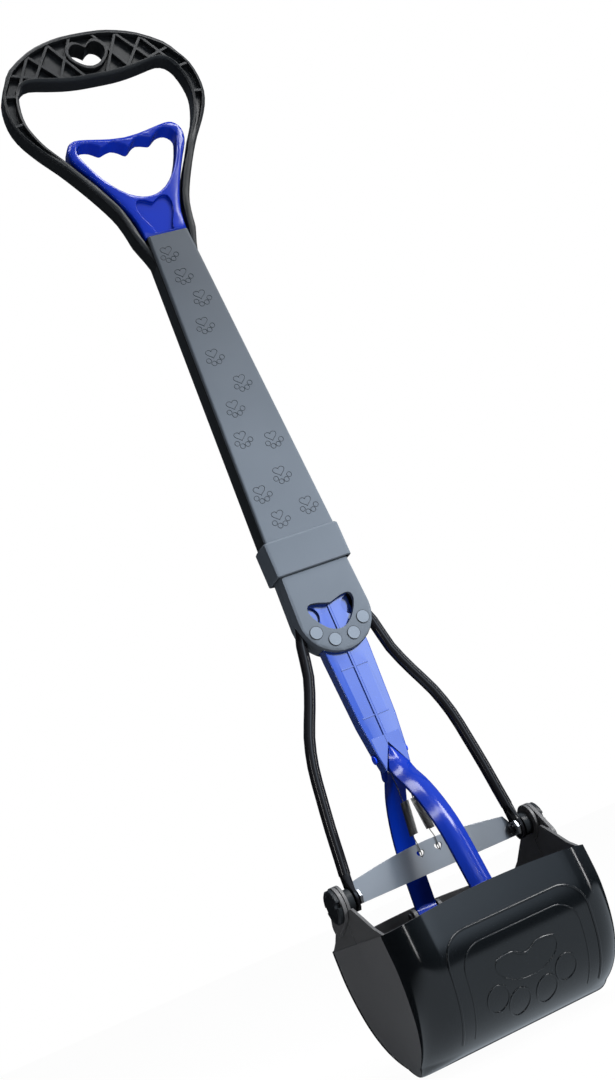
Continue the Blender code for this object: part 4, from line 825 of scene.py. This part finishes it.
def spring_route(side):
    """Points of one spring: a hook over the rod pin, the coil and a hook through the strap."""
    reach = ROD_PIN_RADIUS + SPRING_CLEAR + SPRING_WIRE * 2
    bend = STRAP_HALF_THICK + HOOK_WIRES * SPRING_WIRE + HOOK_CLEARANCES * SPRING_CLEAR
    coil_top = Vector((SPRING_TOP_X, reach * COIL_LEAN_SHARE, SPRING_COIL_HIGH))
    coil_low = Vector((SPRING_HOLE_X - SPRING_WIRE, STRAP_MIDDLE_Y - bend, SPRING_COIL_LOW))
    points = []
    for degrees in range(HOOK_START, 180 + 1, HOOK_STEP):
        turn = math.radians(degrees)
        points.append(Vector((SPRING_TOP_X, -reach * math.cos(turn), ROD_PIN_Z + reach * math.sin(turn))))
    points.append(Vector((SPRING_TOP_X, reach, ROD_PIN_Z - reach)))
    points.append(coil_top + Vector((0, SPRING_COIL_RADIUS / 2, TOP_LEG_RADII * SPRING_COIL_RADIUS)))
    steps = SPRING_TURNS * COIL_POINTS
    for k in range(steps + 1):
        middle = coil_top.lerp(coil_low, k / steps)
        turn = 2 * math.pi * SPRING_TURNS * k / steps + math.pi / 2
        points.append(middle + SPRING_COIL_RADIUS * Vector((math.cos(turn), math.sin(turn), 0)))
    leg_z = SPRING_COIL_LOW - LOW_LEG_RADII * SPRING_COIL_RADIUS
    points.append(Vector((SPRING_HOLE_X, STRAP_MIDDLE_Y - bend, leg_z)))
    hook_z = SPRING_HOLE_Z + SPRING_WIRE
    for degrees in range(180, 360 + 1, HOOK_STEP):
        turn = math.radians(degrees)
        across, up = bend * math.cos(turn), bend * math.sin(turn)
        points.append(Vector((SPRING_HOLE_X, STRAP_MIDDLE_Y + across, hook_z + up)))
    points.append(Vector((SPRING_HOLE_X, STRAP_MIDDLE_Y + bend, hook_z + 2 * bend)))
    return [Vector((side * p.x, p.y, p.z + PIVOT_Z)) for p in points]


class SCOOPER_OT_coating(bpy.types.Operator):
    """Gives both bent wires their smooth coating, down to where they are flattened"""

    bl_idname = "scooper.coating"
    bl_label = "Coat the wires"

    def execute(self, context):
        span = WIRE_EYE_X - WIRE_INSIDE_X
        for hand, side in (("left", -1), ("right", 1)):
            knots = []
            for across, up in WIRE_SHARES:
                knots.append(Vector((side * (WIRE_INSIDE_X + across * span), 0, up * WIRE_TOP + PIVOT_Z)))
            # The first stretch is inside the lower body
            path = smooth_curve(knots, COATING_STEPS)[COATING_STEPS:]
            points, faces = tube(path, COATED_RADIUS, COATING_SIDES)
            obj = mesh_object(f"coating_{hand}", points, faces, "coated_steel", ROUND_EDGE_ANGLE)
            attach(obj, "handle")
        return {"FINISHED"}


def notch_half(z):
    """Half the width of the notch in the rod's end at a height."""
    return ROD_NOTCH_WIDTH / 2 * (ROD_NOTCH_Z - z) / (ROD_NOTCH_Z - ROD_TIP_Z)


class SCOOPER_OT_notch_web(bpy.types.Operator):
    """Fills the rod's notch behind the front link with a thin web that swings with the link"""

    bl_idname = "scooper.notch_web"
    bl_label = "Fill the notch"

    def execute(self, context):
        points = []
        for k in range(WEB_ROWS + 1):
            z = ROD_NOTCH_Z + (ROD_TIP_Z - WEB_DROP - ROD_NOTCH_Z) * k / WEB_ROWS
            half = min(notch_half(z) + WEB_LAP, WEB_MOST_HALF)
            corners = ((-half, WEB_FRONT), (half, WEB_FRONT), (half, WEB_BACK), (-half, WEB_BACK))
            points += [Vector((x, y, z + PIVOT_Z)) for x, y in corners]
        obj = mesh_object("notch_web", points, ring_faces(WEB_ROWS + 1, len(corners)), "link_blue")
        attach(obj, "front_link")
        return {"FINISHED"}


class SCOOPER_OT_springs(bpy.types.Operator):
    """Winds both springs with fine close coils, in place of the CAD's springs, which it hides"""

    bl_idname = "scooper.springs"
    bl_label = "Wind the springs"

    def execute(self, context):
        for hand, side in (("left", -1), ("right", 1)):
            points, faces = tube(spring_route(side), SPRING_WIRE, WIRE_SIDES)
            obj = mesh_object(f"fine_spring_{hand}", points, faces, "spring_steel", COIL_EDGE_ANGLE)
            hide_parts(f"spring_{hand}")
            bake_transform(obj)
        return {"FINISHED"}


class SCOOPER_OT_stage(bpy.types.Operator):
    """Sets the floor, the reflected surroundings, the lights, the world and the camera"""

    bl_idname = "scooper.stage"
    bl_label = "Set the stage"

    def execute(self, context):
        context.scene.view_settings.view_transform = "Standard"
        make_floor()
        make_tent()
        for card in CARDS:
            make_card(*card)
        make_world()
        make_lights()
        make_pool()
        make_camera(context.scene)
        return {"FINISHED"}


def sheet(name, width, depth, height, made):
    """A flat piece of the studio about its middle. It stands where it has a height, and else lies."""
    corners = [(-1, -1), (1, -1), (1, 1), (-1, 1)]
    points = [(a * width / 2, b * depth / 2, b * height / 2) for a, b in corners]
    mesh = bpy.data.meshes.new(name)
    mesh.from_pydata(points, [], [tuple(range(len(corners)))])
    mesh.materials.append(made)
    return bpy.data.objects.new(name, mesh)


def make_floor():
    """A pale floor that the camera sees as white but for the shadow."""
    made = bpy.data.materials.new("pale_floor")
    made.use_nodes = True
    tree = made.node_tree
    shader = tree.nodes["Principled BSDF"]
    shader.inputs["Base Color"].default_value = FLOOR_COLOUR
    shader.inputs["Roughness"].default_value = FLOOR_ROUGHNESS
    glow = tree.nodes.new("ShaderNodeEmission")
    rays = tree.nodes.new("ShaderNodeLightPath")
    share = tree.nodes.new("ShaderNodeMath")
    share.operation = "MULTIPLY"
    share.inputs[1].default_value = FLOOR_GLOW
    mix = tree.nodes.new("ShaderNodeMixShader")
    link(tree, rays, "Is Camera Ray", share, 0)
    link(tree, share, "Value", mix, "Fac")
    link(tree, shader, "BSDF", mix, 1)
    link(tree, glow, "Emission", mix, 2)
    link(tree, mix, "Shader", tree.nodes["Material Output"], "Surface")
    floor = sheet("floor", 2 * FLOOR_HALF, 2 * FLOOR_HALF, 0, made)
    floor.location.z = CAD_BOX[0][2] - FLOOR_DROP
    floor.visible_glossy = False
    bpy.context.scene.collection.objects.link(floor)


def bare_material(name, coordinates):
    """A material with no shader yet, its nodes, and the three parts of a place on its piece."""
    made = bpy.data.materials.new(name)
    made.use_nodes = True
    tree = made.node_tree
    tree.nodes.remove(tree.nodes["Principled BSDF"])
    place = tree.nodes.new("ShaderNodeTexCoord")
    parts = tree.nodes.new("ShaderNodeSeparateXYZ")
    link(tree, place, coordinates, parts, "Vector")
    return made, tree, parts


def fade(tree, parts, axis, low, high, rises=True):
    """A share that comes, or goes, smoothly along an axis between two places."""
    ramp = tree.nodes.new("ShaderNodeMapRange")
    ramp.interpolation_type = "SMOOTHSTEP"
    ramp.inputs["From Min"].default_value = low
    ramp.inputs["From Max"].default_value = high
    ramp.inputs["To Min"].default_value = 0.0 if rises else 1.0
    ramp.inputs["To Max"].default_value = 1.0 if rises else 0.0
    link(tree, parts, axis, ramp, "Value")
    return ramp, "Result"


def make_tent():
    """A dome that only reflections see: dark below and to the left, pale above, as in a photo studio."""
    made, tree, parts = bare_material("studio_tent", "Object")
    rise = fade(tree, parts, "Z", *[share * TENT_RADIUS for share in TENT_RISE_SHARES])
    across = fade(tree, parts, "X", *[share * TENT_RADIUS for share in TENT_ACROSS_SHARES])
    tint = tree.nodes.new("ShaderNodeValToRGB")
    tint.color_ramp.elements[0].color = TENT_DARK
    tint.color_ramp.elements[1].color = TENT_LIGHT
    glow = tree.nodes.new("ShaderNodeEmission")
    link(tree, *combined(tree, "MULTIPLY", rise, across), tint, "Fac")
    link(tree, tint, "Color", glow, "Color")
    link(tree, glow, "Emission", tree.nodes["Material Output"], "Surface")
    mesh = bpy.data.meshes.new("tent")
    shape = bmesh.new()
    bmesh.ops.create_uvsphere(shape, u_segments=TENT_SIDES, v_segments=TENT_SIDES // 2, radius=TENT_RADIUS)
    shape.to_mesh(mesh)
    shape.free()
    mesh.materials.append(made)
    tent = bpy.data.objects.new("tent", mesh)
    tent.location.z = PIVOT_Z
    only_reflected(tent)


def make_card(name, place, tilt, size, colour, strength, *fades):
    """A soft card that only reflections see, which fades towards its edges."""
    made, tree, parts = bare_material(f"{name}_card", "Generated")
    product = None
    for (axis, rises), (low, high) in zip((("Z", True), ("Z", False), ("X", True), ("X", False)), fades):
        share = fade(tree, parts, axis, low, high, rises)
        product = combined(tree, "MULTIPLY", product, share) if product else share
    glow = tree.nodes.new("ShaderNodeEmission")
    glow.inputs["Color"].default_value = (*colour, 1)
    glow.inputs["Strength"].default_value = strength
    clear = tree.nodes.new("ShaderNodeBsdfTransparent")
    mix = tree.nodes.new("ShaderNodeMixShader")
    link(tree, *product, mix, "Fac")
    link(tree, clear, "BSDF", mix, 1)
    link(tree, glow, "Emission", mix, 2)
    link(tree, mix, "Shader", tree.nodes["Material Output"], "Surface")
    width, height = size
    card = sheet(name, width, 0, height, made)
    card.location = place
    card.rotation_euler.x = math.radians(tilt)
    only_reflected(card)


def only_reflected(obj):
    """Marks a piece of the studio that only reflections see, so that it takes no light samples."""
    obj.data.materials[0].cycles.emission_sampling = "NONE"
    for kind in ("camera", "diffuse", "transmission", "volume_scatter", "shadow"):
        setattr(obj, f"visible_{kind}", False)
    bpy.context.scene.collection.objects.link(obj)


def make_world():
    """A soft light from all round, which the camera, reflections and glass see as plain white."""
    world = bpy.data.worlds.new("studio")
    bpy.context.scene.world = world
    world.use_nodes = True
    tree = world.node_tree
    soft = tree.nodes["Background"]
    soft.inputs["Color"].default_value = SOFT_COLOUR
    soft.inputs["Strength"].default_value = SOFT_LIGHT
    white = tree.nodes.new("ShaderNodeBackground")
    white.inputs["Color"].default_value = (1, 1, 1, 1)
    white.inputs["Strength"].default_value = 1.0
    rays = tree.nodes.new("ShaderNodeLightPath")
    seen = combined(tree, "MAXIMUM", (rays, "Is Camera Ray"), (rays, "Is Glossy Ray"))
    seen = combined(tree, "MAXIMUM", seen, (rays, "Is Transmission Ray"))
    mix = tree.nodes.new("ShaderNodeMixShader")
    link(tree, *seen, mix, "Fac")
    link(tree, soft, "Background", mix, 1)
    link(tree, white, "Background", mix, 2)
    link(tree, mix, "Shader", tree.nodes["World Output"], "Surface")


def aim_lamp(lamp, place, aim):
    """Stands a lamp at a place, turned to what it faces."""
    obj = bpy.data.objects.new(lamp.name, lamp)
    obj.location = place
    obj.rotation_euler = (Vector(aim) - Vector(place)).to_track_quat("-Z", "Y").to_euler()
    bpy.context.scene.collection.objects.link(obj)
    return obj


def make_lights():
    """The soft lamps above the object."""
    for name, place, aim, width, height, power in LAMPS:
        lamp = bpy.data.lights.new(name, "AREA")
        lamp.shape = "RECTANGLE"
        lamp.size, lamp.size_y = width, height
        lamp.energy = power
        aim_lamp(lamp, place, aim)


def make_pool():
    """A pool of light that brightens the tube towards its lower end."""
    place, aim, power, width, softness = POOL
    lamp = bpy.data.lights.new("pool", "SPOT")
    lamp.energy = power
    lamp.spot_size = math.radians(width)
    lamp.spot_blend = POOL_FADE
    lamp.shadow_soft_size = softness
    aim_lamp(lamp, place, aim).visible_glossy = False


def make_camera(scene):
    """The camera, turned by its right and by what is left of its down at right angles to it."""
    data = bpy.data.cameras.new("camera")
    data.lens = look().lens
    data.sensor_width = SENSOR_WIDTH
    data.clip_start = NEAR_CLIP
    data.dof.use_dof = False
    obj = bpy.data.objects.new("camera", data)
    right = Vector(CAMERA_RIGHT).normalized()
    up = -(Vector(CAMERA_DOWN) - right * Vector(CAMERA_DOWN).dot(right)).normalized()
    back = right.cross(up)
    turn = Matrix((right, up, back)).transposed()
    obj.matrix_world = Matrix.Translation(CAMERA_PLACE) @ turn.to_4x4()
    scene.collection.objects.link(obj)
    scene.camera = obj


class SCOOPER_PT_panel(bpy.types.Panel):
    """Lists the dressing steps and the looks"""

    bl_idname = "SCOOPER_PT_panel"
    bl_label = "Scooper"
    bl_space_type = "VIEW_3D"
    bl_region_type = "UI"
    bl_category = "Scooper"

    def draw(self, context):
        for name in ScooperLook.__annotations__:
            self.layout.prop(look(), name)
        for step in STEPS:
            self.layout.operator(step.bl_idname)


STEPS = (
    SCOOPER_OT_paint, SCOOPER_OT_jaw_skins, SCOOPER_OT_marks, SCOOPER_OT_notch_web, SCOOPER_OT_coating,
    SCOOPER_OT_springs, SCOOPER_OT_stage,
)
CLASSES = (ScooperLook, *STEPS, SCOOPER_PT_panel)


def register():
    for made in CLASSES:
        bpy.utils.register_class(made)
    bpy.types.Scene.scooper_look = bpy.props.PointerProperty(type=ScooperLook)


def unregister():
    del bpy.types.Scene.scooper_look
    for made in reversed(CLASSES):
        bpy.utils.unregister_class(made)


def main():
    register()
    bpy.ops.scooper.paint()
    bpy.ops.scooper.jaw_skins()
    bpy.ops.scooper.marks()
    bpy.ops.scooper.notch_web()
    bpy.ops.scooper.coating()
    bpy.ops.scooper.springs()
    bpy.ops.scooper.stage()


if __name__ == "__main__":
    main()
